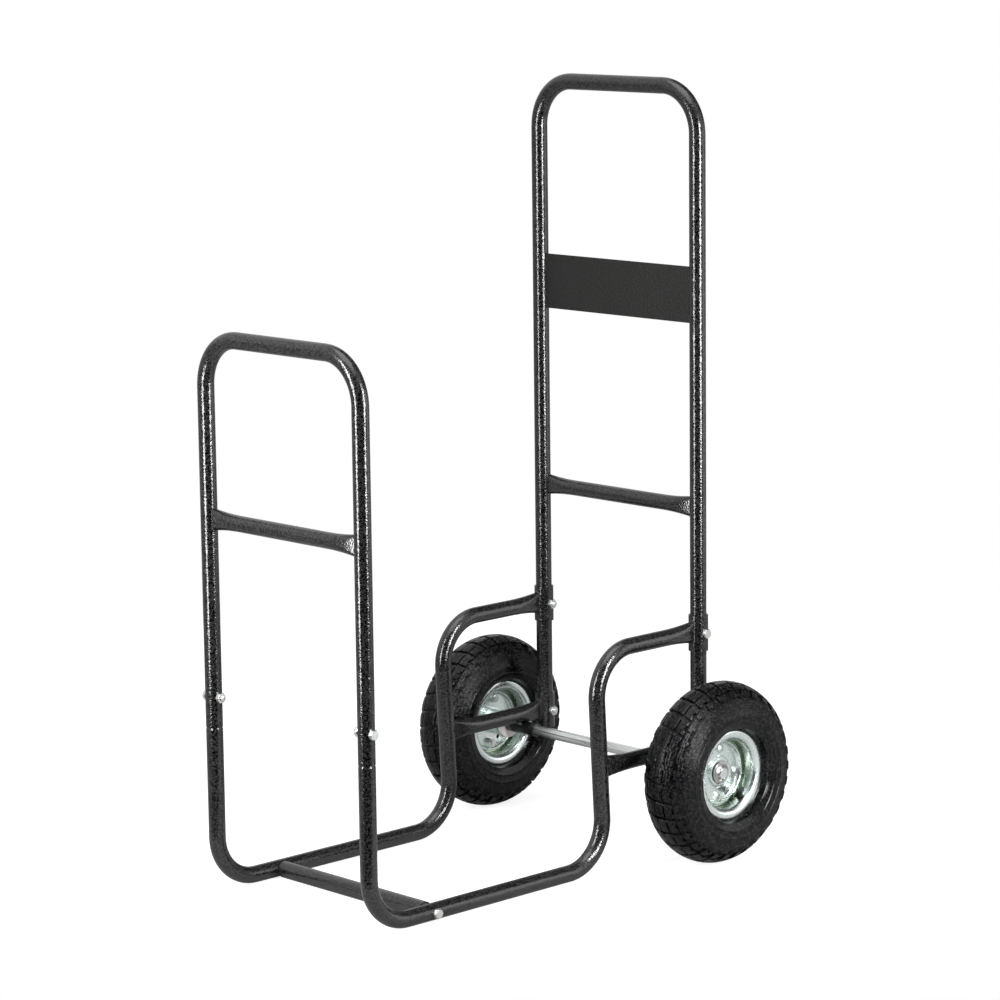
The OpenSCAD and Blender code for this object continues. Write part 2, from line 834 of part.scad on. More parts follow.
// Ball bearing on the Z axis: outer ring, inner ring, balls and a shield on each face
module bearing() {
    outer_r = bearing_od / 2 - axle_fit / 2;
    inner_r = axle_d / 2 + axle_fit;
    shield_in = inner_r + ring_t + 0.3;
    shield_out = outer_r - ring_t - 0.1;
    rotate_extrude()
        difference() {
            translate([outer_r - ring_t, 0])
                square([ring_t, bearing_w]);
            translate([race_r, bearing_w / 2])
                circle(d = ball_d + 2 * race_fit);
        }
    rotate_extrude()
        difference() {
            translate([inner_r, 0])
                square([ring_t, bearing_w]);
            translate([race_r, bearing_w / 2])
                circle(d = ball_d + 2 * race_fit);
        }
    for (i = [0 : balls - 1])
        rotate([0, 0, i * 360 / balls])
            translate([race_r, 0, bearing_w / 2])
                sphere(d = ball_d);
    for (z = [0.3, bearing_w - 0.3 - shield_t])
        translate([0, 0, z])
            linear_extrude(shield_t)
                difference() {
                    circle(r = shield_out);
                    circle(r = shield_in);
                }
}

module bearing_pair(side) {
    color(zinc)
        wheel_place(side)
            for (z = [bearing_in - hub_in, hub_out - bearing_in - bearing_w])
                translate([0, 0, z])
                    bearing();
}

module bearings_left() { bearing_pair(LEFT); }
module bearings_right() { bearing_pair(RIGHT); }

module valve_stem(side) {
    color(rubber)
        wheel_place(side)
            valve_line()
                cylinder(d = valve_d, h = valve_len);
}
module valve_stem_left() { valve_stem(LEFT); }
module valve_stem_right() { valve_stem(RIGHT); }
module valve_cap(side) {
    color(rubber)
        wheel_place(side)
            valve_line()
                translate([0, 0, valve_len])
                    cylinder(d = cap_od, h = cap_len);
}
module valve_cap_left() { valve_cap(LEFT); }
module valve_cap_right() { valve_cap(RIGHT); }

handle_frame();
handle_crossbar();
handle_plate();
front_frame();
front_crossbar();
base_tube_left();
base_tube_right();
brace_left();
brace_right();
upper_sleeve_left();
upper_sleeve_right();
lower_sleeve_left();
lower_sleeve_right();
floor_cross_tube();
cross_tube_inserts();
cross_tube_bolts();
front_joint_bolts();
front_joint_nuts();
upper_sleeve_bolts();
upper_sleeve_nuts();
lower_sleeve_bolts();
lower_sleeve_nuts();
axle();
axle_sleeve_left();
axle_sleeve_right();
axle_spacers();
axle_end_washers();
axle_retainers();
tyre_left();
tyre_right();
inner_tube_left();
inner_tube_right();
outer_rim_left();
outer_rim_right();
inner_rim_left();
inner_rim_right();
rim_bolts_left();
rim_bolts_right();
rim_nuts_left();
rim_nuts_right();
hub_left();
hub_right();
bearings_left();
bearings_right();
valve_stem_left();
valve_stem_right();
valve_cap_left();
valve_cap_right();
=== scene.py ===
# Fireside log cart, seen as in its photograph. Metres; the floor is Z = 0, the open front is at
# -Y and +X is the cart's right side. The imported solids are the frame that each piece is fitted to.
from math import atan2, cos, degrees, pi, radians, sin, sqrt, tan

import bmesh
import bpy
from mathutils import Matrix, Vector


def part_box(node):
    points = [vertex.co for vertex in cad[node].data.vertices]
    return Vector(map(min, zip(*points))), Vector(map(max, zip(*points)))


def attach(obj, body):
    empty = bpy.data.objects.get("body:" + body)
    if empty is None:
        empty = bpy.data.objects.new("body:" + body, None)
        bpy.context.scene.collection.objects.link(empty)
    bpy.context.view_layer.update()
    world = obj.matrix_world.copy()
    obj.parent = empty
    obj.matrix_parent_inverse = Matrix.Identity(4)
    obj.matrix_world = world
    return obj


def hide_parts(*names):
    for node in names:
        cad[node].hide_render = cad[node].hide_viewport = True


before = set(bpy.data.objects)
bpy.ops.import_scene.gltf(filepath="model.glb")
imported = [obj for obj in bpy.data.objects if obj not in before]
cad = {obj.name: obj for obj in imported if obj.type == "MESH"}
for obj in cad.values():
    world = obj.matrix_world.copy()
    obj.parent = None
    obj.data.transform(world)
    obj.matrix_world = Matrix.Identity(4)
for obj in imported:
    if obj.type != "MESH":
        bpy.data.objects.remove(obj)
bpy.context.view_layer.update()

# ---- Handle frame, front frame, sleeves and floor cross tube ----
# Each frame is one round steel tube, bent cold into a hoop. The sleeves are short lengths of wider
# tube round the handle uprights and the axle. All of it is grit blasted and powder coated in a
# dark grey hammered finish, whose fine dimples break every highlight into specks.


def linear(colour):
    """A hex colour, which is in sRGB, as linear light."""
    parts = [int(colour[i : i + 2], 16) / 255 for i in (1, 3, 5)]
    return [c / 12.92 if c <= 0.04045 else ((c + 0.055) / 1.055) ** 2.4 for c in parts] + [1]


def add_node(tree, kind, inputs=None, out=0, **settings):
    """Adds a node with its settings. An input takes a value, another node's output, or a list of
    outputs. Returns the output that is asked for, or all of them for None."""
    made = tree.nodes.new(kind)
    for name, value in settings.items():
        setattr(made, name, value)
    for name, value in (inputs or {}).items():
        links = value if isinstance(value, list) and hasattr(value[0], "is_output") else [value]
        for item in links:
            if hasattr(item, "is_output"):
                tree.links.new(item, made.inputs[name])
            else:
                made.inputs[name].default_value = item
    return made.outputs if out is None else made.outputs[out]


def new_finish(name, **sockets):
    """A new material, its tree, and its shader with the given sockets set."""
    finish = bpy.data.materials.new(name)
    finish.use_nodes = True
    shader = finish.node_tree.nodes["Principled BSDF"]
    for socket, value in sockets.items():
        shader.inputs[socket.replace("_", " ")].default_value = value
    return finish, finish.node_tree, shader


def coat_nodes(finish, *nodes):
    """Gives carried-over CAD nodes a finish."""
    for name in nodes:
        for place in cad[name].material_slots:
            place.material = finish


# Hammered powder coat: the dimples are about 1.6 mm across on the real tube. They are drawn at
# 2.2 mm, because a pixel of the photograph covers 1.4 mm.
powder_coat, tree, shader = new_finish("hammered_powder_coat", Roughness=0.16, IOR=1.6)
place = add_node(tree, "ShaderNodeTexCoord", out="Object")
dimples = add_node(
    tree, "ShaderNodeTexVoronoi", {"Vector": place, "Scale": 1 / 0.0022},
    feature="SMOOTH_F1", out="Distance",
)
grain = add_node(
    tree, "ShaderNodeTexNoise", {"Vector": place, "Scale": 1 / 0.002, "Detail": 2}, out="Fac"
)
clouds = add_node(
    tree, "ShaderNodeTexNoise", {"Vector": place, "Scale": 1 / 0.05, "Detail": 2}, out="Fac"
)
relief = add_node(tree, "ShaderNodeMath", {0: dimples, 1: grain}, operation="ADD")
speck = add_node(tree, "ShaderNodeMapRange", {"Value": relief, "From Min": 0.8, "From Max": 1.05})
tint = add_node(
    tree, "ShaderNodeMix", {0: speck, 6: linear("#000000"), 7: linear("#282828")},
    data_type="RGBA", out=2,
)
tree.links.new(tint, shader.inputs["Base Color"])
gloss = add_node(tree, "ShaderNodeMapRange", {"Value": clouds, "To Min": 0.12, "To Max": 0.18})
tree.links.new(gloss, shader.inputs["Roughness"])
bump = add_node(tree, "ShaderNodeBump", {"Height": relief, "Distance": 0.00022, "Strength": 0.9})
tree.links.new(bump, shader.inputs["Normal"])

coat_nodes(
    powder_coat, "handle_frame", "front_frame", "upper_sleeve_left", "upper_sleeve_right",
    "lower_sleeve_left", "lower_sleeve_right", "floor_cross_tube",
    "axle_sleeve_left", "axle_sleeve_right",
)

# ---- Crossbars, braces and base tubes ----
# Round tube whose ends are pressed flat in a die, then fitted to the next tube and welded. The
# press leaves a flat face that narrows to a point where the tube is still round. The two base
# tubes are each bent into a front leg, a rail, an arch leg and a level run.

TUBE_OD = 0.0235
BEND_R = 0.066
SIDE_X = 0.1575
POINTS_IN_BEND, POINTS_ROUND, RING_SPACING = 24, 56, 0.0035


def middle_y(node):
    """How far back the middle of a CAD node lies."""
    low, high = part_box(node)
    return (low.y + high.y) / 2


HANDLE_Y, FRONT_Y = middle_y("handle_frame"), middle_y("front_frame")


def plain_object(name, mesh):
    made = bpy.data.objects.new(name, mesh)
    bpy.context.scene.collection.objects.link(made)
    return made


def polyline_mesh(name, runs):
    """A mesh of edges only. Each run is a list of points, and closed if its ends are the same."""
    points, edges = [], []
    for run in runs:
        closed = (Vector(run[0]) - Vector(run[-1])).length < 1e-6
        first = len(points)
        points += run[:-1] if closed else run
        last = len(points) - 1
        edges += [(i, i + 1) for i in range(first, last)]
        if closed:
            edges.append((last, first))
    mesh = bpy.data.meshes.new(name)
    mesh.from_pydata(points, edges, [])
    return mesh


def new_tree(name, **sockets):
    """A Geometry Nodes tree with its named inputs. Returns the tree and what it is given."""
    tree = bpy.data.node_groups.new(name, "GeometryNodeTree")
    for way in ("INPUT", "OUTPUT"):
        tree.interface.new_socket("Geometry", in_out=way, socket_type="NodeSocketGeometry")
    for socket, kind in sockets.items():
        tree.interface.new_socket(
            socket.replace("_", " "), in_out="INPUT", socket_type="NodeSocket" + kind
        )
    return tree, tree.nodes.new("NodeGroupInput").outputs


def end_tree(tree, geometry, finish):
    """Ends a tree, and returns it: instances made real, smooth faces, and the finish."""
    real = add_node(tree, "GeometryNodeRealizeInstances", {"Geometry": geometry})
    smooth = add_node(tree, "GeometryNodeSetShadeSmooth", {0: real})
    dressed = add_node(tree, "GeometryNodeSetMaterial", {"Geometry": smooth, "Material": finish})
    tree.links.new(dressed, tree.nodes.new("NodeGroupOutput").inputs["Geometry"])
    return tree


def modified(piece):
    """The mesh that an object's modifiers make of it."""
    seen = piece.evaluated_get(bpy.context.evaluated_depsgraph_get())
    return bpy.data.meshes.new_from_object(seen)


def grow(name, start, tree, **values):
    """Runs a tree on a starting mesh, and keeps the result as a plain mesh."""
    grown = plain_object(name, start)
    maker = grown.modifiers.new("maker", "NODES")
    maker.node_group = tree
    for item in tree.interface.items_tree:
        if item.name.replace(" ", "_") in values:
            maker[item.identifier] = values[item.name.replace(" ", "_")]
    result = modified(grown)
    grown.modifiers.clear()
    grown.data = result
    return grown


def finish_piece(piece, body, slot, *nodes):
    """Says what carries a piece, and which CAD nodes it stands for. Its slot is not used."""
    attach(piece, body)
    if nodes:
        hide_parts(*nodes)


tree, given = new_tree(
    "pressed_tube", Outside_diameter="Float", Bend_radius="Float", Pressed_height="Float",
    Pressed_thickness="Float", Press_at_start="Float", Press_at_end="Float", Flare="Float",
    Squeezed_along="Vector", Finish="Material",
)
squeezed_along = given["Squeezed along"]
line = add_node(tree, "GeometryNodeMeshToCurve", {"Mesh": given["Geometry"]})
bent = add_node(
    tree, "GeometryNodeFilletCurve",
    {"Curve": line, "Radius": given["Bend radius"], "Count": POINTS_IN_BEND}, mode="POLY",
)
even = add_node(
    tree, "GeometryNodeResampleCurve", {"Curve": bent, "Length": RING_SPACING}, mode="LENGTH"
)
along = add_node(tree, "GeometryNodeSplineParameter", out="Length")
whole = add_node(tree, "GeometryNodeSplineLength", out="Length")
left_over = add_node(tree, "ShaderNodeMath", {0: whole, 1: along}, operation="SUBTRACT")
middle = add_node(tree, "GeometryNodeInputPosition")
kept = tree.nodes.new("GeometryNodeCaptureAttribute")
kept.domain = "POINT"
tree.links.new(even, kept.inputs["Geometry"])
for kind, name, value in (
    ("VECTOR", "middle", middle), ("FLOAT", "from start", along), ("FLOAT", "from end", left_over),
):
    kept.capture_items.new(kind, name)
    tree.links.new(value, kept.inputs[name])
radius = add_node(
    tree, "ShaderNodeMath", {0: given["Outside diameter"], 1: 0.5}, operation="MULTIPLY"
)
round_section = add_node(
    tree, "GeometryNodeCurvePrimitiveCircle", {"Resolution": POINTS_ROUND, "Radius": radius}
)
tube = add_node(
    tree, "GeometryNodeCurveToMesh",
    {"Curve": kept.outputs["Geometry"], "Profile Curve": round_section, "Fill Caps": True},
)
# How far the press has closed, from 0 where the tube is round to 1 at a pressed end
closed = []
for reach, distance in (("Press at start", "from start"), ("Press at end", "from end")):
    # An end whose press reaches under a millimetre is left round
    pressed_at_all = add_node(
        tree, "ShaderNodeMath", {0: given[reach], 1: 0.001}, operation="GREATER_THAN"
    )
    nearness = add_node(
        tree, "ShaderNodeMapRange",
        {"Value": kept.outputs[distance], "From Min": 0, "From Max": given[reach],
         "To Min": pressed_at_all, "To Max": 0},
    )
    closed.append(add_node(
        tree, "ShaderNodeMath", {0: nearness, 1: given["Flare"]}, operation="POWER"
    ))
press = add_node(tree, "ShaderNodeMath", {0: closed[0], 1: closed[1]}, operation="MAXIMUM")
# The wall isn't stretched: each point keeps its way round the tube, first along the flat that
# the press has made, then round the bend at its end
here = add_node(tree, "GeometryNodeInputPosition")
arm = add_node(
    tree, "ShaderNodeVectorMath", {0: here, 1: kept.outputs["middle"]}, operation="SUBTRACT"
)
across = add_node(
    tree, "ShaderNodeVectorMath", {0: arm, 1: squeezed_along}, operation="DOT_PRODUCT", out="Value"
)
across_arm = add_node(
    tree, "ShaderNodeVectorMath", {0: squeezed_along, "Scale": across}, operation="SCALE"
)
height_arm = add_node(tree, "ShaderNodeVectorMath", {0: arm, 1: across_arm}, operation="SUBTRACT")
upward = add_node(tree, "ShaderNodeVectorMath", {0: height_arm}, operation="NORMALIZE")
height = add_node(tree, "ShaderNodeVectorMath", {0: height_arm}, operation="LENGTH", out="Value")
width = add_node(tree, "ShaderNodeMath", {0: across}, operation="ABSOLUTE")
side = add_node(tree, "ShaderNodeMath", {0: across}, operation="SIGN")
angle = add_node(tree, "ShaderNodeMath", {0: height, 1: width}, operation="ARCTAN2")
way_round = add_node(tree, "ShaderNodeMath", {0: angle, 1: radius}, operation="MULTIPLY")
full_height, thickness = [
    add_node(
        tree, "ShaderNodeMapRange",
        {"Value": press, "To Min": given["Outside diameter"], "To Max": given[pressed_to]},
    )
    for pressed_to in ("Pressed height", "Pressed thickness")
]
bend = add_node(tree, "ShaderNodeMath", {0: thickness, 1: 0.5}, operation="MULTIPLY")
less = add_node(tree, "ShaderNodeMath", {0: bend, 1: -1}, operation="MULTIPLY")
flat = add_node(tree, "ShaderNodeMath", {0: full_height, 1: 0.5, 2: less}, operation="MULTIPLY_ADD")
past = add_node(tree, "ShaderNodeMath", {0: way_round, 1: flat}, operation="SUBTRACT")
past = add_node(tree, "ShaderNodeMath", {0: past, 1: 0}, operation="MAXIMUM")
turn = add_node(tree, "ShaderNodeMath", {0: past, 1: bend}, operation="DIVIDE")
swing = []
for kind in ("COSINE", "SINE"):
    part = add_node(tree, "ShaderNodeMath", {0: turn}, operation=kind)
    swing.append(add_node(tree, "ShaderNodeMath", {0: part, 1: bend}, operation="MULTIPLY"))
squeezed = add_node(tree, "ShaderNodeMath", {0: swing[0], 1: side}, operation="MULTIPLY")
run_up = add_node(tree, "ShaderNodeMath", {0: way_round, 1: flat}, operation="MINIMUM")
risen = add_node(tree, "ShaderNodeMath", {0: run_up, 1: swing[1]}, operation="ADD")
spot = kept.outputs["middle"]
for way, amount in ((squeezed_along, squeezed), (upward, risen)):
    moved = add_node(tree, "ShaderNodeVectorMath", {0: way, "Scale": amount}, operation="SCALE")
    spot = add_node(tree, "ShaderNodeVectorMath", {0: spot, 1: moved}, operation="ADD")
shaped = add_node(tree, "GeometryNodeSetPosition", {"Geometry": tube, "Position": spot})
pressed_tube = end_tree(tree, shaped, given["Finish"])

# The crossbars are Ø22.2, and their ends reach 1.5 mm into the uprights
BAR_OD = 0.0222
BAR_PRESSED_H, BAR_PRESSED_T = 0.031, 0.0068
bar_end = SIDE_X - TUBE_OD / 2 + 0.0015
BARS = (("handle_crossbar", HANDLE_Y, 0.4955), ("front_crossbar", FRONT_Y, 0.5255))
for name, y, z in BARS:
    bar = grow(
        name + "_pressed", polyline_mesh(name, [[(-bar_end, y, z), (bar_end, y, z)]]),
        pressed_tube, Outside_diameter=BAR_OD, Bend_radius=0.0, Pressed_height=BAR_PRESSED_H,
        Pressed_thickness=BAR_PRESSED_T, Press_at_start=0.06, Press_at_end=0.06, Flare=2.2,
        Squeezed_along=(0, 1, 0), Finish=powder_coat,
    )
    finish_piece(bar, "frame", "powder_coat", name)

# The base tubes are pressed where they meet the upper sleeves, and the braces at both ends. Each
# pressed end reaches 1 mm into what it is welded to
PRESSED_H, PRESSED_T = 0.032, 0.0086
INTO_WELD = 0.001
RAIL_Z, BRACE_Z, NECK_Z, ARCH_Z = TUBE_OD / 2, 0.15185, 0.232, 0.3165
SLEEVE_OD = 0.0285
LEAN = radians(3)
SIDES = ((-1, "left"), (1, "right"))
leg_foot_y = HANDLE_Y - 0.194
sleeve_face = HANDLE_Y - SLEEVE_OD / 2 + INTO_WELD
for side, end in SIDES:
    x = side * SIDE_X
    corners = [
        (x, FRONT_Y, NECK_Z), (x, FRONT_Y, RAIL_Z),
        (x, leg_foot_y - RAIL_Z * tan(LEAN), RAIL_Z),
        (x, leg_foot_y - ARCH_Z * tan(LEAN), ARCH_Z), (x, sleeve_face, ARCH_Z),
    ]
    base = grow(
        "base_tube_" + end + "_bent", polyline_mesh("base_line", [corners]), pressed_tube,
        Outside_diameter=TUBE_OD, Bend_radius=BEND_R, Pressed_height=PRESSED_H,
        Pressed_thickness=PRESSED_T, Press_at_start=0.0001, Press_at_end=0.06, Flare=2.2,
        Squeezed_along=(1, 0, 0), Finish=powder_coat,
    )
    finish_piece(base, "frame", "powder_coat", "base_tube_" + end)
    leg_y = leg_foot_y - BRACE_Z * tan(LEAN) + TUBE_OD / 2
    brace_line = [(x, leg_y - INTO_WELD, BRACE_Z), (x, sleeve_face, BRACE_Z)]
    brace = grow(
        "brace_" + end + "_pressed", polyline_mesh("brace_line", [brace_line]), pressed_tube,
        Outside_diameter=TUBE_OD, Bend_radius=0.0, Pressed_height=PRESSED_H,
        Pressed_thickness=PRESSED_T, Press_at_start=0.055, Press_at_end=0.055, Flare=2.0,
        Squeezed_along=(1, 0, 0), Finish=powder_coat,
    )
    finish_piece(brace, "frame", "powder_coat", "brace_" + end)

# ---- Reduced ends of the base tubes ----
# The top of each front leg is drawn down to a spigot that the front frame drops over. Only its
# sloping shoulder shows, as a fine V round the leg, and it carries the same powder coat.


def plain_mesh(name, made):
    """Keeps a mesh that is being made as a plain one."""
    mesh = bpy.data.meshes.new(name)
    made.to_mesh(mesh)
    made.free()
    return mesh


def steps_round(count):
    """Angles at even steps round a circle."""
    return [2 * pi * i / count for i in range(count)]


def turned(name, outline, segments):
    """A ring about the Z axis from a closed outline of (radius, height) points, faces outwards."""
    made = bmesh.new()
    rings = [
        [made.verts.new((r * cos(a), r * sin(a), z)) for r, z in outline]
        for a in steps_round(segments)
    ]
    for near, far in zip(rings, rings[1:] + rings[:1]):
        for j in range(len(outline)):
            k = (j + 1) % len(outline)
            made.faces.new((near[j], far[j], far[k], near[k]))
    bmesh.ops.remove_doubles(made, verts=made.verts, dist=1e-6)
    bmesh.ops.dissolve_degenerate(made, edges=made.edges, dist=1e-7)
    bmesh.ops.recalc_face_normals(made, faces=made.faces)
    return plain_mesh(name, made)


def shade(mesh, crease=30):
    """Smooth faces, with a hard edge wherever they turn by more than the crease."""
    mesh.polygons.foreach_set("use_smooth", [True] * len(mesh.polygons))
    mesh.set_sharp_from_angle(angle=radians(crease))
    return mesh


def joined(name, parts):
    """One mesh from several, each with its own place."""
    made = bmesh.new()
    for mesh, place in parts:
        start, first = len(made.verts), len(made.faces)
        made.from_mesh(mesh)
        made.verts.ensure_lookup_table()
        made.faces.ensure_lookup_table()
        bmesh.ops.transform(made, matrix=place, verts=made.verts[start:])
        if place.determinant() < 0:
            bmesh.ops.reverse_faces(made, faces=made.faces[first:])
    return plain_mesh(name, made)


# The outline: bore, full tube, foot and top of the reduced part, and its rounded mouth
NECK_BORE_R, SPIGOT_R, SPIGOT_L, SHOULDER = 0.0088, 0.01005, 0.0608, 0.0032
neck = turned("neck", [
    (NECK_BORE_R, 0), (TUBE_OD / 2, 0), (SPIGOT_R, SHOULDER), (SPIGOT_R, SPIGOT_L - 0.0008),
    (SPIGOT_R - 0.00045, SPIGOT_L), (NECK_BORE_R, SPIGOT_L),
], 48)
necks = plain_object("reduced_ends", joined("reduced_ends", [
    (neck, Matrix.Translation((side * SIDE_X, FRONT_Y, NECK_Z))) for side in (-1, 1)
]))
shade(necks.data)
necks.data.materials.append(powder_coat)
finish_piece(necks, "frame", "powder_coat")

# ---- Weld beads ----
# Each joint is welded all round before coating, so the bead carries the same powder coat. It is
# a row of overlapping ripples, and one tree lays it along every seam.

tree, given = new_tree(
    "weld_bead", Bead_width="Float", Ripple_spacing="Float", Seed="Int", Finish="Material"
)
seam = add_node(tree, "GeometryNodeMeshToCurve", {"Mesh": given["Geometry"]})
steps = add_node(
    tree, "GeometryNodeResampleCurve", {"Curve": seam, "Length": given["Ripple spacing"]},
    mode="LENGTH",
)
spots = add_node(tree, "GeometryNodeCurveToPoints", {"Curve": steps}, mode="EVALUATED", out=None)
radius = add_node(tree, "ShaderNodeMath", {0: given["Bead width"], 1: 0.5}, operation="MULTIPLY")
ripple = add_node(tree, "GeometryNodeMeshIcoSphere", {"Radius": radius, "Subdivisions": 2})
uneven = add_node(
    tree, "FunctionNodeRandomValue",
    {0: (0.85, 0.85, 0.6), 1: (1.15, 1.15, 0.8), 8: given["Seed"]}, data_type="FLOAT_VECTOR",
)
laid = add_node(
    tree, "GeometryNodeInstanceOnPoints",
    {"Points": spots["Points"], "Instance": ripple,
     "Rotation": spots["Rotation"], "Scale": uneven},
)
weld_bead = end_tree(tree, laid, given["Finish"])


def flat_end_seam(height, thickness, radius):
    """The seam of a pressed end on a tube: points of (side, up, depth to the tube's surface)."""
    seam, half_t, half_h = [], thickness / 2, height / 2 - thickness / 2
    for start, middle in ((0, half_h), (pi, -half_h)):
        for i in range(9):
            a = start + pi * i / 8
            seam.append((half_t * cos(a), middle + half_t * sin(a)))
    seam.append(seam[0])
    return [(s, u, sqrt(radius**2 - s**2)) for s, u in seam]


seams = []
for side in (-1, 1):
    x = side * SIDE_X
    for _, y, z in BARS:
        seams.append([
            (x - side * d, y + s, z + u)
            for s, u, d in flat_end_seam(BAR_PRESSED_H, BAR_PRESSED_T, TUBE_OD / 2)
        ])
    for z in (ARCH_Z, BRACE_Z):
        seams.append([
            (x + s, HANDLE_Y - d, z + u)
            for s, u, d in flat_end_seam(PRESSED_H, PRESSED_T, SLEEVE_OD / 2)
        ])
    seams.append([
        (x + s, leg_foot_y - (BRACE_Z + u) * tan(LEAN) + d, BRACE_Z + u)
        for s, u, d in flat_end_seam(PRESSED_H, PRESSED_T, TUBE_OD / 2)
    ])
welds = grow(
    "frame_welds", polyline_mesh("seams", seams), weld_bead,
    Bead_width=0.0036, Ripple_spacing=0.0016, Seed=4, Finish=powder_coat,
)
finish_piece(welds, "frame", "powder_coat")

# ---- Plate ----
# A strip of 2 mm steel sheet welded between the handle uprights, with its own smooth satin
# powder coat. It looks flatter and a little paler than the tube, with the faintest orange peel.


def mottled(tree, shader, size, detail, dark, light):
    """Colours a finish in patches of a size in metres. Returns its place, patches and tint."""
    place = add_node(tree, "ShaderNodeTexCoord", out="Object")
    patches = add_node(
        tree, "ShaderNodeTexNoise", {"Vector": place, "Scale": 1 / size, "Detail": detail},
        out="Fac",
    )
    tint = add_node(
        tree, "ShaderNodeMix", {0: patches, 6: linear(dark), 7: linear(light)},
        data_type="RGBA", out=2,
    )
    tree.links.new(tint, shader.inputs["Base Color"])
    return place, patches, tint


plate_coat, tree, shader = new_finish(
    "satin_powder_coat", Roughness=0.46, IOR=1.5, Specular_IOR_Level=0.38
)
place, _, _ = mottled(tree, shader, 0.06, 3, "#0b0a09", "#181615")
peel = add_node(
    tree, "ShaderNodeTexNoise", {"Vector": place, "Scale": 1 / 0.003, "Detail": 2}, out="Fac"
)
bump = add_node(tree, "ShaderNodeBump", {"Height": peel, "Distance": 0.0008, "Strength": 0.8})
tree.links.new(bump, shader.inputs["Normal"])
coat_nodes(plate_coat, "handle_plate")

# ---- Frame bolts and nuts ----
# M8 hexagon bolts, 13 mm across the flats, through the front joints, the sleeves and the rails,
# with plain nuts on the inner side. They are bright zinc plated, with a chamfered top, a washer
# face, and a little thread standing out of the nut.

zinc_plate, tree, shader = new_finish("bright_zinc_plate", Metallic=1.0, Roughness=0.3)
_, mottle, _ = mottled(tree, shader, 0.006, 3, "#c9cdcb", "#e4e6e3")
gloss = add_node(tree, "ShaderNodeMapRange", {"Value": mottle, "To Min": 0.22, "To Max": 0.42})
tree.links.new(gloss, shader.inputs["Roughness"])

FLATS, HEAD_T, NUT_T, CHAMFER = 0.013, 0.0053, 0.0065, 0.0009
TOP_ACROSS, WASHER_FACE = FLATS * 0.965, 0.0003
THREAD_D, THREAD_PITCH, THREAD_OUT = 0.008, 0.00125, 0.002
SHANK_R, CREST_R, ROOT_R, TIP_R = 0.0036, 0.0039, 0.0032, 0.0028


def hexagon_part(name, thickness, bore, chamfer_both):
    """A hexagon along Z with its corners turned off, from Z = 0 to its thickness."""
    made = bmesh.new()
    sides = 48
    levels = [
        (0.0, chamfer_both), (CHAMFER if chamfer_both else WASHER_FACE, False),
        (thickness - CHAMFER, False), (thickness, True),
    ]
    rings = []
    for z, cut in levels:
        ring = []
        for a in steps_round(sides):
            r = FLATS / 2 / cos((a + pi / 6) % (pi / 3) - pi / 6)
            if cut:
                r = min(r, TOP_ACROSS / 2)
            ring.append(made.verts.new((r * cos(a), r * sin(a), z)))
        rings.append(ring)
    for near, far in zip(rings, rings[1:]):
        for i in range(sides):
            k = (i + 1) % sides
            made.faces.new((near[i], near[k], far[k], far[i]))
    if bore:
        inner = [
            [made.verts.new((r * cos(a), r * sin(a), z)) for a in steps_round(sides)]
            for r, z in ((bore + 0.0005, 0), (bore, 0.0006), (bore, thickness - 0.0006),
                         (bore + 0.0005, thickness))
        ]
        for near, far in zip([rings[0]] + inner, inner + [rings[-1]]):
            for i in range(sides):
                k = (i + 1) % sides
                made.faces.new((near[k], near[i], far[i], far[k]))
    else:
        made.faces.new(rings[0][::-1])
        made.faces.new(rings[-1])
    bmesh.ops.recalc_face_normals(made, faces=made.faces)
    return plain_mesh(name, made)


def threaded_rod(name, start, end, turns):
    """A rod along Z with thread ridges over its last stretch."""
    first = end - turns * THREAD_PITCH
    outline = [(0, start), (SHANK_R, start), (SHANK_R, first)]
    for i in range(turns):
        z = first + i * THREAD_PITCH
        outline += [(CREST_R, z + THREAD_PITCH * 0.4), (CREST_R, z + THREAD_PITCH * 0.6),
                    (ROOT_R, z + THREAD_PITCH)]
    outline[-1] = (TIP_R, end)
    outline.append((0, end))
    return turned(name, outline, 24)


# Puts a part at each point of the starting mesh, turned the way that the point is facing
tree, given = new_tree("frame_fasteners", Part="Object", Finish="Material")
shape = add_node(
    tree, "GeometryNodeObjectInfo", {"Object": given["Part"]},
    transform_space="ORIGINAL", out="Geometry",
)
facing = add_node(
    tree, "GeometryNodeInputNamedAttribute", {"Name": "facing"}, data_type="FLOAT_VECTOR"
)
turn = add_node(tree, "FunctionNodeEulerToRotation", {0: facing})
spots = add_node(tree, "GeometryNodeMeshToPoints", {"Mesh": given["Geometry"]})
put = add_node(
    tree, "GeometryNodeInstanceOnPoints", {"Points": spots, "Instance": shape, "Rotation": turn}
)
fasteners = end_tree(tree, put, given["Finish"])


def set_out(name, part, places, finish):
    """Puts a part at each place: (point, Euler turn)."""
    spots = bpy.data.meshes.new(name)
    spots.from_pydata([p for p, _ in places], [], [])
    facing = spots.attributes.new("facing", "FLOAT_VECTOR", "POINT")
    for i, (_, turn) in enumerate(places):
        facing.data[i].vector = turn
    shape = plain_object(name + "_shape", shade(part))
    made = grow(name, spots, fasteners, Part=shape, Finish=finish)
    bpy.data.objects.remove(shape)
    shade(made.data)
    return made


def on_both_sides(y, z):
    """The two places where a bolt goes through a tube on each side, its head outwards."""
    return [((side * SIDE_X, y, z), (0, side * pi / 2, 0)) for side in (-1, 1)]


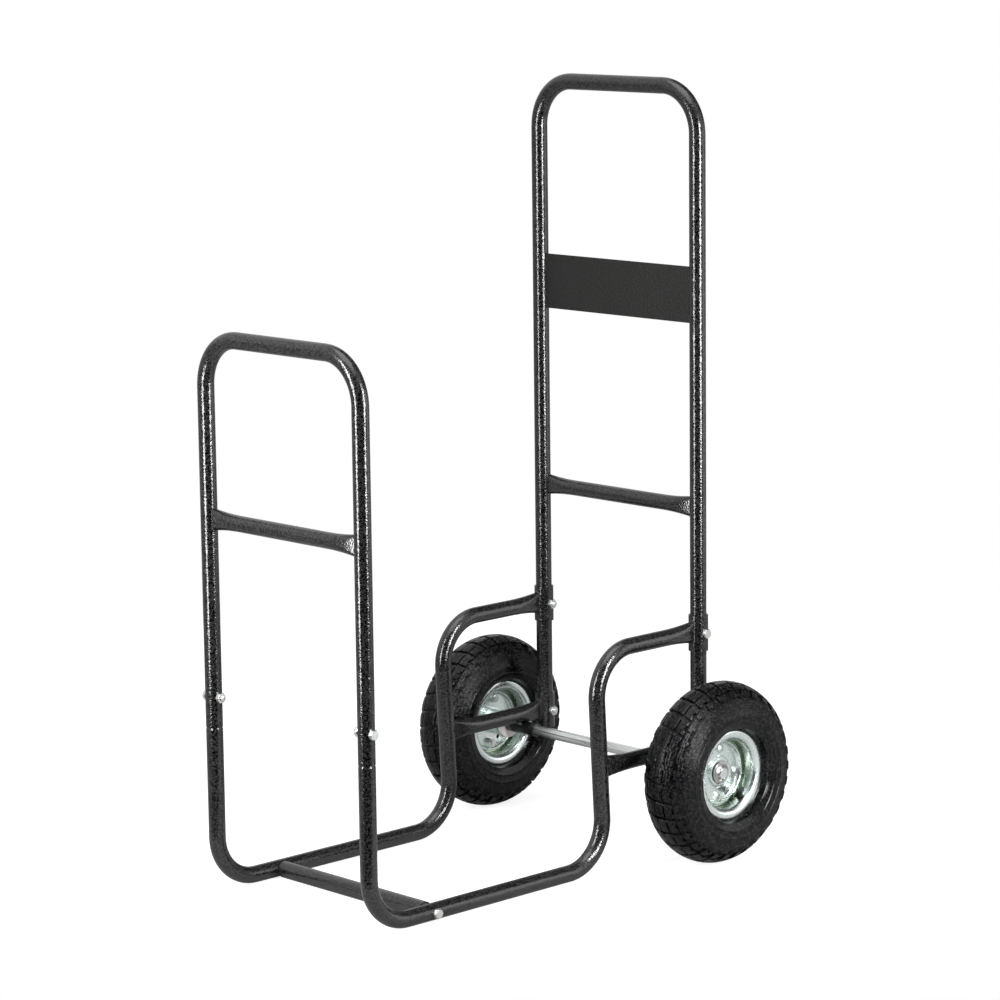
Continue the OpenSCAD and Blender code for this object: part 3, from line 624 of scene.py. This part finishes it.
ROD_IN_HEAD = 0.0005
still = Matrix.Identity(4)
for name, y, z, od in (
    ("front_joint", FRONT_Y, 0.277, TUBE_OD), ("upper_sleeve", HANDLE_Y, 0.3145, SLEEVE_OD),
    ("lower_sleeve", HANDLE_Y, BRACE_Z, SLEEVE_OD),
):
    tip = threaded_rod("tip", 0, NUT_T + THREAD_OUT, 4)
    bolt = joined(name, [
        (hexagon_part("head", HEAD_T, 0, False), Matrix.Translation((0, 0, od / 2))),
        (threaded_rod("rod", -od / 2 - ROD_IN_HEAD, od / 2 + ROD_IN_HEAD, 0), still),
        (tip, Matrix.Translation((0, 0, -od / 2)) @ Matrix.Rotation(pi, 4, "X")),
    ])
    bolts = set_out(name + "_bolts_zinc", bolt, on_both_sides(y, z), zinc_plate)
    finish_piece(bolts, "frame", "zinc_fastener", name + "_bolts")
    nut = hexagon_part("nut", NUT_T, THREAD_D / 2, True)
    nut = joined("nut", [(nut, Matrix.Translation((0, 0, -od / 2 - NUT_T)))])
    nuts = set_out(name + "_nuts_zinc", nut, on_both_sides(y, z), zinc_plate)
    finish_piece(nuts, "frame", "zinc_fastener", name + "_nuts")

# The bolts of the floor cross tube go through the rails and 22 mm into threaded inserts
bolt = joined("rail_bolt", [
    (hexagon_part("head", HEAD_T, 0, False), Matrix.Translation((0, 0, TUBE_OD / 2))),
    (threaded_rod("rod", -TUBE_OD / 2 - 0.022, TUBE_OD / 2 + ROD_IN_HEAD, 0), still),
])
bolts = set_out(
    "cross_tube_bolts_zinc", bolt, on_both_sides(middle_y("cross_tube_bolts"), RAIL_Z), zinc_plate
)
finish_piece(bolts, "frame", "zinc_fastener", "cross_tube_bolts")
coat_nodes(zinc_plate, "cross_tube_inserts")

# ---- Axle, nylon spacers, end washers and push-on rings ----
# The axle is Ø16 drawn steel bar with fine lengthwise drawing lines under bright zinc. Turned
# nylon rings keep the wheels off the frame. A pressed washer and a toothed spring ring hold each
# wheel on.
drawn_bar, tree, shader = new_finish("zinc_plated_drawn_bar", Metallic=1.0, Roughness=0.25)
place = add_node(tree, "ShaderNodeTexCoord", out="Object")
# The marks are 1 mm wide and 25 mm long
lines = add_node(tree, "ShaderNodeMapping", {"Vector": place, "Scale": (40, 900, 900)})
draw_marks = add_node(
    tree, "ShaderNodeTexNoise", {"Vector": lines, "Scale": 1, "Detail": 3}, out="Fac"
)
tint = add_node(
    tree, "ShaderNodeMix",
    {0: draw_marks, 6: linear("#d9dddc"), 7: linear("#f2f4f2")}, data_type="RGBA", out=2,
)
tree.links.new(tint, shader.inputs["Base Color"])
bump = add_node(
    tree, "ShaderNodeBump", {"Height": draw_marks, "Distance": 0.00005, "Strength": 0.4}
)
tree.links.new(bump, shader.inputs["Normal"])
coat_nodes(drawn_bar, "axle")
coat_nodes(zinc_plate, "axle_end_washers")

# Zinc plated spring steel is a little darker and yellower than the washers
spring_plate, tree, shader = new_finish("zinc_plated_spring_steel", Metallic=1.0, Roughness=0.35)
mottled(tree, shader, 0.002, 2, "#8f918b", "#b9bab4")
coat_nodes(spring_plate, "axle_retainers")

# Natural nylon is milky, faintly pink, and lets a little light into its surface
nylon, tree, shader = new_finish("turned_natural_nylon", Roughness=0.42, IOR=1.53)
shader.inputs["Subsurface Weight"].default_value = 0.15
shader.inputs["Subsurface Radius"].default_value = (0.004, 0.003, 0.0025)
mottled(tree, shader, 0.002, 2, "#f2e6e4", "#faf4f2")
coat_nodes(nylon, "axle_spacers")

# ---- Tyres ----
# Moulded black rubber hand-cart tyres, 260 by 85 mm, with 31 pitches of tread: ribs cut by short
# slots, a stepped lug on each shoulder, side lugs and a broken ring of ribs on the sidewall. The
# rubber is black with a low sheen, finely ribbed round the sidewall, and lightly dusty.
rubber, tree, shader = new_finish(
    "moulded_tyre_rubber", Roughness=0.4, IOR=1.52, Specular_IOR_Level=0.19
)
place = add_node(tree, "ShaderNodeTexCoord", out="Object")
dust = add_node(
    tree, "ShaderNodeTexNoise", {"Vector": place, "Scale": 1 / 0.004, "Detail": 4}, out="Fac"
)
flecks = add_node(tree, "ShaderNodeMapRange", {"Value": dust, "From Min": 0.42, "From Max": 0.72})
pits = add_node(
    tree, "ShaderNodeTexNoise", {"Vector": place, "Scale": 1 / 0.0032, "Detail": 3}, out="Fac"
)
tint = add_node(
    tree, "ShaderNodeMix", {0: flecks, 6: linear("#000000"), 7: linear("#222224")},
    data_type="RGBA", out=2,
)
tree.links.new(tint, shader.inputs["Base Color"])
AXLE_Y, AXLE_Z, WHEEL_X = 0.237875, 0.13, 0.2325


def round_the_axle(tree, place):
    """A place as seen from the axle's middle, its parts, and how far off the axle it is."""
    from_axle = add_node(
        tree, "ShaderNodeMapping", {"Vector": place, "Location": (0, -AXLE_Y, -AXLE_Z)}
    )
    parts = add_node(tree, "ShaderNodeSeparateXYZ", {0: from_axle}, out=None)
    outward = add_node(tree, "ShaderNodeCombineXYZ", {"Y": parts["Y"], "Z": parts["Z"]})
    off_axle = add_node(tree, "ShaderNodeVectorMath", {0: outward}, operation="LENGTH", out="Value")
    return from_axle, parts, off_axle


from_axle, _, off_axle = round_the_axle(tree, place)
# The sidewall is smooth near the bead, and roughest at the shoulder
texture = add_node(
    tree, "ShaderNodeMapRange",
    {"Value": off_axle, "From Min": 0.078, "From Max": 0.105, "To Min": 0.2, "To Max": 1},
)
dullest = add_node(tree, "ShaderNodeMath", {0: texture, 1: 0.16, 2: 0.11}, operation="MULTIPLY_ADD")
sheen = add_node(tree, "ShaderNodeMapRange", {"Value": pits, "To Min": 0.1, "To Max": dullest})
tree.links.new(sheen, shader.inputs["Roughness"])
# The moulded rings round the sidewall are 1 mm apart, and are drawn at 2 mm to show
rings = add_node(
    tree, "ShaderNodeTexWave",
    {"Vector": from_axle, "Scale": 2 * pi / 20 / 0.002, "Distortion": 1.2, "Detail": 2,
     "Detail Scale": 3}, wave_type="RINGS", rings_direction="X", out="Fac",
)
relief = add_node(tree, "ShaderNodeMath", {0: rings, 1: 0.5, 2: pits}, operation="MULTIPLY_ADD")
bump = add_node(
    tree, "ShaderNodeBump", {"Height": relief, "Distance": 0.00055, "Strength": texture}
)
tree.links.new(bump, shader.inputs["Normal"])

TYRE_R, SECTION_R = 0.13, 0.0425
SECTION_MID = TYRE_R - SECTION_R
PITCHES, FIRST_PITCH, PITCH_LEAN = 31, 0.09, 0.06
PITCH = 2 * pi / PITCHES
GROOVE_D, BLOCK_FOOT, BLOCK_BEVEL = 0.0035, 0.0008, 0.0006


def wheel_matrix(side):
    """A wheel's own place: its X points away from the cart."""
    place = Matrix.Translation((side * WHEEL_X, AXLE_Y, AXLE_Z))
    return place @ Matrix.Diagonal((side, 1, 1, 1))


def on_tyre(u, t, r):
    """A point of the tyre: u pitches round from the top towards the front, t degrees of section
    from the crown outwards, r from the section's centre. The pitch leans with t."""
    a = PITCH * (u - FIRST_PITCH) + radians(PITCH_LEAN * t)
    t = radians(t)
    ring = SECTION_MID + r * cos(t)
    return Vector((r * sin(t), -ring * sin(a), ring * cos(a)))


def groove_depth(t):
    """How far the grooves' floor lies below the tread, at t degrees of section."""
    stops = [(0, GROOVE_D), (34, GROOVE_D), (40, 0.003), (50, 0.0028), (56, 0.0004), (61, 0)]
    for (t0, d0), (t1, d1) in zip(stops, stops[1:]):
        if t0 <= abs(t) < t1:
            return d0 + (d1 - d0) * (abs(t) - t0) / (t1 - t0)
    return 0.0


# One pitch of the tread as a map. A row is a band of the section from one angle to the next, and
# its marks say where rubber stands between the breaks round the tyre. A wide band takes a step at
# about every 4.5 degrees, to follow the tyre's round section.
BREAKS = [-0.42, -0.28, -0.14, 0.0, 0.055, 0.16, 0.28, 0.42]
BANDS = [
    (-1.1, 1.1, "..###..", 0.0), (1.1, 16.4, "#######", 0.0), (16.4, 19.6, "#......", 0.0),
    (19.6, 30.5, "#######", 0.0), (30.5, 33.5, "###.###", 0.0), (33.5, 36.5, "##...##", 0.0),
    (39, 46, "####...", 0.0004), (46, 50, "####...", 0.0004), (50, 53.5, "##.#...", 0.0004),
    (57, 59, "#####..", -0.0009), (60.2, 62.2, "#####..", -0.0009),
]
rows = []
for t0, t1, marks, sunk in BANDS:
    steps = max(1, round((t1 - t0) / 4.5))
    for k in range(steps):
        here = (t0 + (t1 - t0) * k / steps, t0 + (t1 - t0) * (k + 1) / steps)
        rows.append((*here, marks, sunk))
        if t0 > 0:
            rows.append((-here[1], -here[0], marks, sunk))
rows.sort()
tread = bmesh.new()
corners = {}


def tread_corner(u, t, sunk):
    key = (round(u, 4), round(t, 3))
    if key not in corners:
        corners[key] = tread.verts.new(on_tyre(u, t, SECTION_R - sunk))
    return corners[key]


for t0, t1, marks, sunk in rows:
    for mark, u0, u1 in zip(marks, BREAKS, BREAKS[1:]):
        if mark == "#":
            tread.faces.new([
                tread_corner(u, t, sunk) for u, t in ((u0, t0), (u1, t0), (u1, t1), (u0, t1))
            ])
bmesh.ops.recalc_face_normals(tread, faces=tread.faces)
tops = list(tread.faces)
if sum(f.normal.dot(f.calc_center_median()) for f in tops) < 0:
    bmesh.ops.reverse_faces(tread, faces=tops)
edges = [e for e in tread.edges if len(e.link_faces) == 1]
foot = bmesh.ops.extrude_face_region(tread, geom=tops, use_keep_orig=True)["geom"]
for vert in [g for g in foot if isinstance(g, bmesh.types.BMVert)]:
    x, ring = vert.co.x, sqrt(vert.co.y**2 + vert.co.z**2)
    t = degrees(atan2(x, ring - SECTION_MID))
    floor_r = SECTION_R - groove_depth(t) - BLOCK_FOOT
    scale = (SECTION_MID + floor_r * cos(radians(t))) / ring
    vert.co = Vector((floor_r * sin(radians(t)), vert.co.y * scale, vert.co.z * scale))
bmesh.ops.bevel(tread, geom=edges, offset=BLOCK_BEVEL, segments=1, affect="EDGES", profile=0.5)
bmesh.ops.recalc_face_normals(tread, faces=tread.faces)
pitch_mesh = plain_mesh("tread_pitch", tread)

tree, given = new_tree("repeat_round_axle", Count="Int", Finish="Material")
spots = add_node(tree, "GeometryNodePoints", {"Count": given["Count"]})
number = add_node(tree, "GeometryNodeInputIndex")
step = add_node(tree, "ShaderNodeMath", {0: 2 * pi, 1: given["Count"]}, operation="DIVIDE")
angle = add_node(tree, "ShaderNodeMath", {0: number, 1: step}, operation="MULTIPLY")
angles = add_node(tree, "ShaderNodeCombineXYZ", {"X": angle})
turn = add_node(tree, "FunctionNodeEulerToRotation", {0: angles})
copies = add_node(
    tree, "GeometryNodeInstanceOnPoints",
    {"Points": spots, "Instance": given["Geometry"], "Rotation": turn},
)
round_axle = end_tree(tree, copies, given["Finish"])

# The carcass under the blocks: its section from bead to bead, then back round its inside. The
# sidewall lies 0.6 mm low, and its rings stand up to the full section
RING_H, TUBE_SIDE_R = 0.0006, 0.0335
OUTER_TURN, OUTER_STEPS, INNER_TURN, INNER_STEPS = 118, 128, 152, 24
carcass_outline = []
for i in range(OUTER_STEPS + 1):
    t = -OUTER_TURN + i * 2 * OUTER_TURN / OUTER_STEPS
    r = SECTION_R - groove_depth(t) - RING_H * min(1, max(0, (abs(t) - 64) / 3))
    for rib, half in ((71, 2.2), (88, 1.9), (101, 1.9)):
        r += RING_H * max(0, 1 - ((abs(t) - rib) / half) ** 2)
    carcass_outline.append((SECTION_MID + r * cos(radians(t)), r * sin(radians(t))))
bead_in = [(0.0648, 0.0272), (0.0632, 0.0262), (0.0600, 0.0255), (0.0560, 0.0222),
           (0.0524, 0.0190), (0.0515, 0.0160), (0.0515, 0.0100)]
inside = [(0.0560, 0.0100)]
for i in range(INNER_STEPS + 1):
    t = INNER_TURN - i * 2 * INNER_TURN / INNER_STEPS
    inside.append((SECTION_MID + TUBE_SIDE_R * cos(radians(t)), TUBE_SIDE_R * sin(radians(t))))
outline = (
    carcass_outline + bead_in + inside + [(r, -z) for r, z in reversed(inside[:1])]
    + [(r, -z) for r, z in reversed(bead_in)]
)
carcass = turned("carcass", outline, PITCHES * 4)
carcass.transform(Matrix.Rotation(pi / 2, 4, "Y"))
for side, end in SIDES:
    blocks = grow("tyre_blocks", pitch_mesh.copy(), round_axle, Count=PITCHES, Finish=rubber)
    tyre = plain_object("tyre_" + end + "_moulded", joined("tyre_" + end, [
        (carcass, wheel_matrix(side)), (blocks.data, wheel_matrix(side)),
    ]))
    bpy.data.objects.remove(blocks)
    shade(tyre.data, 32)
    tyre.data.materials.clear()
    tyre.data.materials.append(rubber)
    finish_piece(tyre, "wheel_" + end, "tyre_rubber", "tyre_" + end)

# ---- Inner tubes ----
# Butyl inner tubes, hidden inside the tyres: smooth, darker and softer than the tyre's rubber.
butyl, tree, shader = new_finish(
    "butyl_tube_rubber", Roughness=0.45, IOR=1.5, Specular_IOR_Level=0.25
)
mottled(tree, shader, 0.015, 3, "#070707", "#141415")
coat_nodes(butyl, "inner_tube_left", "inner_tube_right")

# ---- Rims ----
# Each rim is two halves pressed from 1.6 mm steel sheet and bolted face to face: a flat disc
# with a raised bead round it, a seat for the tyre, and a rolled lip. The zinc plate is bright
# and greenish, with soft cloudy streaks; down in the channel a darker green is painted shade and
# reflection.
rim_plate, tree, shader = new_finish("zinc_plated_pressed_steel", Metallic=1.0, Roughness=0.25)
place, clouds, tint = mottled(tree, shader, 0.02, 4, "#d8e5e2", "#f3f9f8")
mottle = add_node(
    tree, "ShaderNodeTexNoise", {"Vector": place, "Scale": 1 / 0.005, "Detail": 3}, out="Fac"
)
# Painted shade and reflection: the colour turns darker and greener down in the channel between the
# disc and the lip, where the metal sees itself
_, parts, off_axle = round_the_axle(tree, place)
outboard = add_node(tree, "ShaderNodeMath", {0: parts["X"]}, operation="ABSOLUTE")
past_face = add_node(tree, "ShaderNodeMath", {0: outboard, 1: WHEEL_X}, operation="SUBTRACT")
from_face = add_node(tree, "ShaderNodeMath", {0: past_face}, operation="ABSOLUTE")
past_bead = add_node(
    tree, "ShaderNodeMapRange", {"Value": off_axle, "From Min": 0.0446, "From Max": 0.0455}
)
channel_shade_mask = add_node(
    tree, "ShaderNodeMapRange",
    {"Value": from_face, "From Min": 0.012, "From Max": 0.023, "To Min": past_bead, "To Max": 0},
    interpolation_type="SMOOTHSTEP",
)
# The painted shade: a darker green standing for the channel's shade and reflection
painted_channel_shade = add_node(
    tree, "ShaderNodeMix", {0: clouds, 6: linear("#8da29a"), 7: linear("#c5cfbb")},
    data_type="RGBA", out=2,
)
tint = add_node(tree, "ShaderNodeMix", {0: channel_shade_mask, 6: tint, 7: painted_channel_shade}, data_type="RGBA", out=2)
tree.links.new(tint, shader.inputs["Base Color"])
gloss = add_node(tree, "ShaderNodeMapRange", {"Value": mottle, "To Min": 0.2, "To Max": 0.32})
tree.links.new(gloss, shader.inputs["Roughness"])
bump = add_node(tree, "ShaderNodeBump", {"Height": clouds, "Distance": 0.0003, "Strength": 0.08})
tree.links.new(bump, shader.inputs["Normal"])

SHEET, HUB_BORE, DISC_R, SEAT_R, RIM_HALF = 0.0016, 0.0193, 0.044, 0.0502, 0.028
BEAD_H, LIP_BEND = 0.0044, 0.008
BOLT_CIRCLE_R, BOLT_HOLE_R, BOLT_TURN = 0.034, 0.0042, -6.5


def round_off(path):
    """Rounds a line by cutting each of its corners twice, with its two ends kept."""
    for _ in range(2):
        cut = [path[0]]
        for (a, b), (c, d) in zip(path, path[1:]):
            cut += [(a * 0.75 + c * 0.25, b * 0.75 + d * 0.25),
                    (a * 0.25 + c * 0.75, b * 0.25 + d * 0.75)]
        path = cut + [path[-1]]
    return path


def sheet_outline(path, thickness):
    """The closed outline of a sheet that follows a line of (radius, height) points."""
    sides = [[], []]
    for i, (r, z) in enumerate(path):
        r0, z0 = path[max(0, i - 1)]
        r1, z1 = path[min(len(path) - 1, i + 1)]
        run = sqrt((r1 - r0) ** 2 + (z1 - z0) ** 2)
        nr, nz = -(z1 - z0) / run * thickness / 2, (r1 - r0) / run * thickness / 2
        sides[0].append((r + nr, z + nz))
        sides[1].append((r - nr, z - nz))
    return sides[0] + sides[1][::-1]


def cut_out(name, mesh, cutters):
    """Cuts closed shapes out of a closed mesh."""
    body = plain_object(name, mesh)
    tools = plain_object(name + "_cutters", joined(name + "_cutters", cutters))
    cut = body.modifiers.new("cut", "BOOLEAN")
    cut.operation, cut.solver, cut.object = "DIFFERENCE", "EXACT", tools
    clean = bmesh.new()
    clean.from_mesh(modified(body))
    bpy.data.objects.remove(body)
    bpy.data.objects.remove(tools)
    bmesh.ops.remove_doubles(clean, verts=clean.verts, dist=2e-6)
    bmesh.ops.dissolve_degenerate(clean, edges=clean.edges, dist=2e-6)
    return plain_mesh(name, clean)


def rod(radius, length, segments=32):
    """A rod along Z, from -length to length."""
    return turned("rod", [(0, -length), (radius, -length), (radius, length), (0, length)], segments)


def at_wheel_angle(angle, radius, height=0.0):
    """A place on the rim's face: degrees from the rear towards the floor, as seen from the side."""
    turn = Matrix.Rotation(radians(90 - angle), 4, "Z")
    return turn @ Matrix.Translation((radius, 0, height))


# Half a rim's section, from the hub out: flat disc, raised bead, seat, rolled lip
mid = SHEET / 2
bead_top, LIP_Z = mid + BEAD_H, RIM_HALF - mid
rim_line = [(HUB_BORE, mid), (0.03, mid)] + round_off([
    (DISC_R - 0.0036, mid), (DISC_R - 0.0012, mid + 0.0020),
    (DISC_R - 0.0002, bead_top), (DISC_R + 0.0008, bead_top), (DISC_R + 0.0010, mid + 0.0030),
    (DISC_R + 0.0012, mid), (SEAT_R - 0.0018, mid), (SEAT_R - 0.0002, mid + 0.0006),
    (SEAT_R, mid + 0.003),
])
for i in range(13):
    a = pi / 2 * i / 12
    rim_line.append((SEAT_R + LIP_BEND * (1 - cos(a)), LIP_Z - LIP_BEND * (1 - sin(a))))
rim_line += [(0.0612, LIP_Z), (0.0624, LIP_Z - 0.0002), (0.0632, LIP_Z - 0.0010)]
half_rim = turned("half_rim", sheet_outline(rim_line, SHEET), 160)
drain_hole = (rod(0.0043, 0.003), at_wheel_angle(62.5, 0.0319))
bolt_holes = []
for i in range(4):
    turn = Matrix.Rotation(radians(90 * i + BOLT_TURN), 4, "Z")
    bolt_holes.append((rod(BOLT_HOLE_R, 0.004), turn @ Matrix.Translation((BOLT_CIRCLE_R, 0, 0))))
inner_half = cut_out("inner_half", half_rim.copy(), [*bolt_holes, drain_hole])
# The outer half also has the valve's hole, a pip in its disc and a short slot in its lip
outer_half = cut_out("outer_half", half_rim, [
    *bolt_holes,
    (rod(0.0049, 0.006), at_wheel_angle(50, 0.051, 0.009) @ Matrix.Rotation(radians(-46), 4, "Y")),
    drain_hole,
    (rod(0.0009, 0.003), at_wheel_angle(-39, 0.0377, mid)),
    (rod(0.0008, 0.02, 12), at_wheel_angle(153, 0.0625, LIP_Z) @ Matrix.Diagonal((5, 1, 1, 1))),
])


def pressed_mark(radius, start, end, width=0.0007, height=0.0007):
    """A rib pressed up along an arc of the disc, from one wheel angle to another."""
    made = bmesh.new()
    count, rings = max(3, round((end - start) / 4)), []
    for i in range(count + 1):
        a = radians(90 - (start + (end - start) * i / count))
        taper = 0.35 if i in (0, count) else 1
        ring = []
        for b in steps_round(8):
            r = radius + width * taper * cos(b)
            ring.append(made.verts.new((r * cos(a), r * sin(a), SHEET + height * taper * sin(b))))
        rings.append(ring)
    for near, far in zip(rings, rings[1:]):
        for k in range(8):
            made.faces.new((near[k], far[k], far[(k + 1) % 8], near[(k + 1) % 8]))
    made.faces.new(rings[0])
    made.faces.new(rings[-1][::-1])
    bmesh.ops.recalc_face_normals(made, faces=made.faces)
    return plain_mesh("pressed_mark", made)


outer_half = joined("outer_half", [
    (outer_half, still), (pressed_mark(0.0235, -91, -17, 0.0012, 0.0014), still),
    (pressed_mark(0.0225, 75, 102), still),
])


def wheel_place(side):
    """Puts a part made along Z on a wheel: Z outwards, X down, and Y towards the rear."""
    return wheel_matrix(side) @ Matrix(((0, 0, 1, 0), (0, 1, 0, 0), (-1, 0, 0, 0), (0, 0, 0, 1)))


for side, end in SIDES:
    for face, half, flip in (("outer", outer_half, 1), ("inner", inner_half, -1)):
        rim = plain_object(face + "_rim_" + end + "_pressed", joined(face + "_rim_" + end, [
            (half, wheel_place(side) @ Matrix.Diagonal((1, 1, flip, 1))),
        ]))
        shade(rim.data, 35)
        rim.data.materials.clear()
        rim.data.materials.append(rim_plate)
        finish_piece(rim, "wheel_" + end, "zinc_rim", face + "_rim_" + end)
coat_nodes(rim_plate, "hub_left", "hub_right")
coat_nodes(zinc_plate, "rim_bolts_left", "rim_bolts_right", "rim_nuts_left", "rim_nuts_right")

# ---- Bearings ----
# Sealed ball bearings of ground steel, pressed into the ends of the hub tubes. Only the edge of
# the outer ring shows, polished and brighter than the plated hub.
ground_steel, tree, shader = new_finish("ground_bearing_steel", Metallic=1.0, Roughness=0.2)
mottled(tree, shader, 0.0015, 2, "#b9bbbd", "#d5d6d8")
coat_nodes(ground_steel, "bearings_left", "bearings_right")

# ---- Valves ----
# A rubber valve stem leans out of each rim's seat, with a moulded plastic dust cap on it.
coat_nodes(butyl, "valve_stem_left", "valve_stem_right")
cap_plastic, tree, shader = new_finish(
    "moulded_black_polyethylene", Roughness=0.4, IOR=1.51, Specular_IOR_Level=0.25
)
mottled(tree, shader, 0.002, 2, "#050505", "#0e0e0e")
coat_nodes(cap_plastic, "valve_cap_left", "valve_cap_right")

# ---- Floor, light and camera ----
# A plain studio floor, which keeps the cart's soft shadow. It shows white to the camera, but dull
# in the metal. The room is white too, but for a dark opening on the camera's side.
AZIMUTH, ELEVATION, ROLL = radians(46.34), radians(9.77), radians(-0.68)
FLOOR_R, FLOOR_POINTS, FLOOR_X, FLOOR_Y = 1.35, 96, -0.25, 0.75
floor_mesh = bpy.data.meshes.new("studio_floor")
turns = steps_round(FLOOR_POINTS)
floor_mesh.from_pydata(
    [(FLOOR_R * cos(a) + FLOOR_X, FLOOR_R * sin(a) + FLOOR_Y, 0) for a in turns],
    [], [range(FLOOR_POINTS)],
)
studio_floor = plain_object("studio_floor", floor_mesh)
floor_paint, tree, shader = new_finish("white_floor_paint", Roughness=0.9)
shader.inputs["Base Color"].default_value = linear("#9a9a9a")
shader.inputs["Emission Color"].default_value = (1, 1, 1, 1)
ray = add_node(tree, "ShaderNodeLightPath", out=None)
mirrored = add_node(
    tree, "ShaderNodeMath", {0: ray["Is Glossy Ray"], 1: 0.06}, operation="MULTIPLY"
)
seen = add_node(tree, "ShaderNodeMath", {0: ray["Is Camera Ray"], 1: mirrored}, operation="MAXIMUM")
seen = add_node(
    tree, "ShaderNodeMath", {0: seen, 1: ray["Is Transmission Ray"]}, operation="MAXIMUM"
)
glow = add_node(tree, "ShaderNodeMath", {0: seen, 1: 0.84}, operation="MULTIPLY")
tree.links.new(glow, shader.inputs["Emission Strength"])
studio_floor.data.materials.append(floor_paint)


def direction(azimuth, elevation):
    """Towards a point of the sky: its way round from the front, and its height, in radians."""
    return Vector((sin(azimuth) * cos(elevation), -cos(azimuth) * cos(elevation), sin(elevation)))


room = bpy.data.worlds.new("white_room")
bpy.context.scene.world = room
room.use_nodes = True
tree = room.node_tree
tree.nodes.clear()
towards = add_node(tree, "ShaderNodeTexCoord", out="Generated")
opening = (sin(AZIMUTH - radians(2)), -cos(AZIMUTH - radians(2)), -0.1)
facing = add_node(
    tree, "ShaderNodeVectorMath", {0: towards, 1: Vector(opening).normalized()},
    operation="DOT_PRODUCT", out="Value",
)
height = add_node(tree, "ShaderNodeSeparateXYZ", {0: towards}, out="Z")
wall = add_node(
    tree, "ShaderNodeMapRange",
    {"Value": height, "From Min": -0.1, "From Max": 0.4, "To Min": 0.4, "To Max": 0.85},
    interpolation_type="SMOOTHSTEP",
)
shut = add_node(
    tree, "ShaderNodeMapRange",
    {"Value": facing, "From Min": 0.35, "From Max": 0.8, "To Min": 1, "To Max": 0.04},
    interpolation_type="SMOOTHSTEP",
)
wall = add_node(tree, "ShaderNodeMath", {0: wall, 1: shut}, operation="MULTIPLY")
# A darker gap high up at the back, between the lamps, which the rails and braces mirror
back_gap = direction(radians(180), radians(38))
facing = add_node(
    tree, "ShaderNodeVectorMath", {0: towards, 1: back_gap}, operation="DOT_PRODUCT", out="Value"
)
dim = add_node(
    tree, "ShaderNodeMapRange",
    {"Value": facing, "From Min": 0.74, "From Max": 0.9, "To Min": 1, "To Max": 0.1},
    interpolation_type="SMOOTHSTEP",
)
wall = add_node(tree, "ShaderNodeMath", {0: wall, 1: dim}, operation="MULTIPLY")
ray = add_node(tree, "ShaderNodeLightPath", out=None)
level = add_node(
    tree, "ShaderNodeMix", {0: ray["Is Camera Ray"], 2: wall, 3: 1.0}, data_type="FLOAT"
)
light = add_node(tree, "ShaderNodeBackground", {"Color": (1, 1, 1, 1), "Strength": level})
tree.links.new(light, tree.nodes.new("ShaderNodeOutputWorld").inputs["Surface"])


def softbox(name, azimuth, elevation, distance, width, height, watts):
    """A soft lamp at an angle round and above the cart, aimed at its middle."""
    lamp = bpy.data.lights.new(name, "AREA")
    lamp.shape = "RECTANGLE"
    lamp.size, lamp.size_y = width, height
    lamp.energy = watts
    back = direction(radians(azimuth), radians(elevation))
    made = bpy.data.objects.new(name, lamp)
    made.matrix_world = (
        Matrix.Translation(Vector((0, 0, 0.5)) + back * distance)
        @ back.to_track_quat("Z", "Y").to_matrix().to_4x4()
    )
    made.visible_camera = False
    bpy.context.scene.collection.objects.link(made)


softbox("front_softbox", -3.5, 10, 1.25, 0.2, 1.2, 20)
softbox("side_softbox", 93, 12, 1.9, 0.32, 1.4, 52)
softbox("rear_softbox", 136, 4, 2.4, 1.3, 1.3, 6)
softbox("top_softbox", 30, 80, 3.2, 2.6, 2.6, 44)

# The camera was solved from the photograph
DISTANCE, LENS, SENSOR, AIM_RIGHT, AIM_UP = 4.968, 127.92, 36, 0.02983, 0.52326
back = direction(AZIMUTH, ELEVATION)
right = Vector((cos(AZIMUTH), sin(AZIMUTH), 0))
up = back.cross(right)
turned_right = right * cos(ROLL) + up * sin(ROLL)
turned_up = up * cos(ROLL) - right * sin(ROLL)
lens = bpy.data.cameras.new("photo_camera")
lens.lens, lens.sensor_width = LENS, SENSOR
lens.clip_end = 100
camera = bpy.data.objects.new("photo_camera", lens)
spot = right * AIM_RIGHT + Vector((0, 0, AIM_UP)) + back * DISTANCE
camera.matrix_world = Matrix.Translation(spot) @ Matrix(
    (turned_right, turned_up, back)
).transposed().to_4x4()
bpy.context.scene.collection.objects.link(camera)
bpy.context.scene.camera = camera
bpy.context.scene.view_settings.view_transform = "Standard"
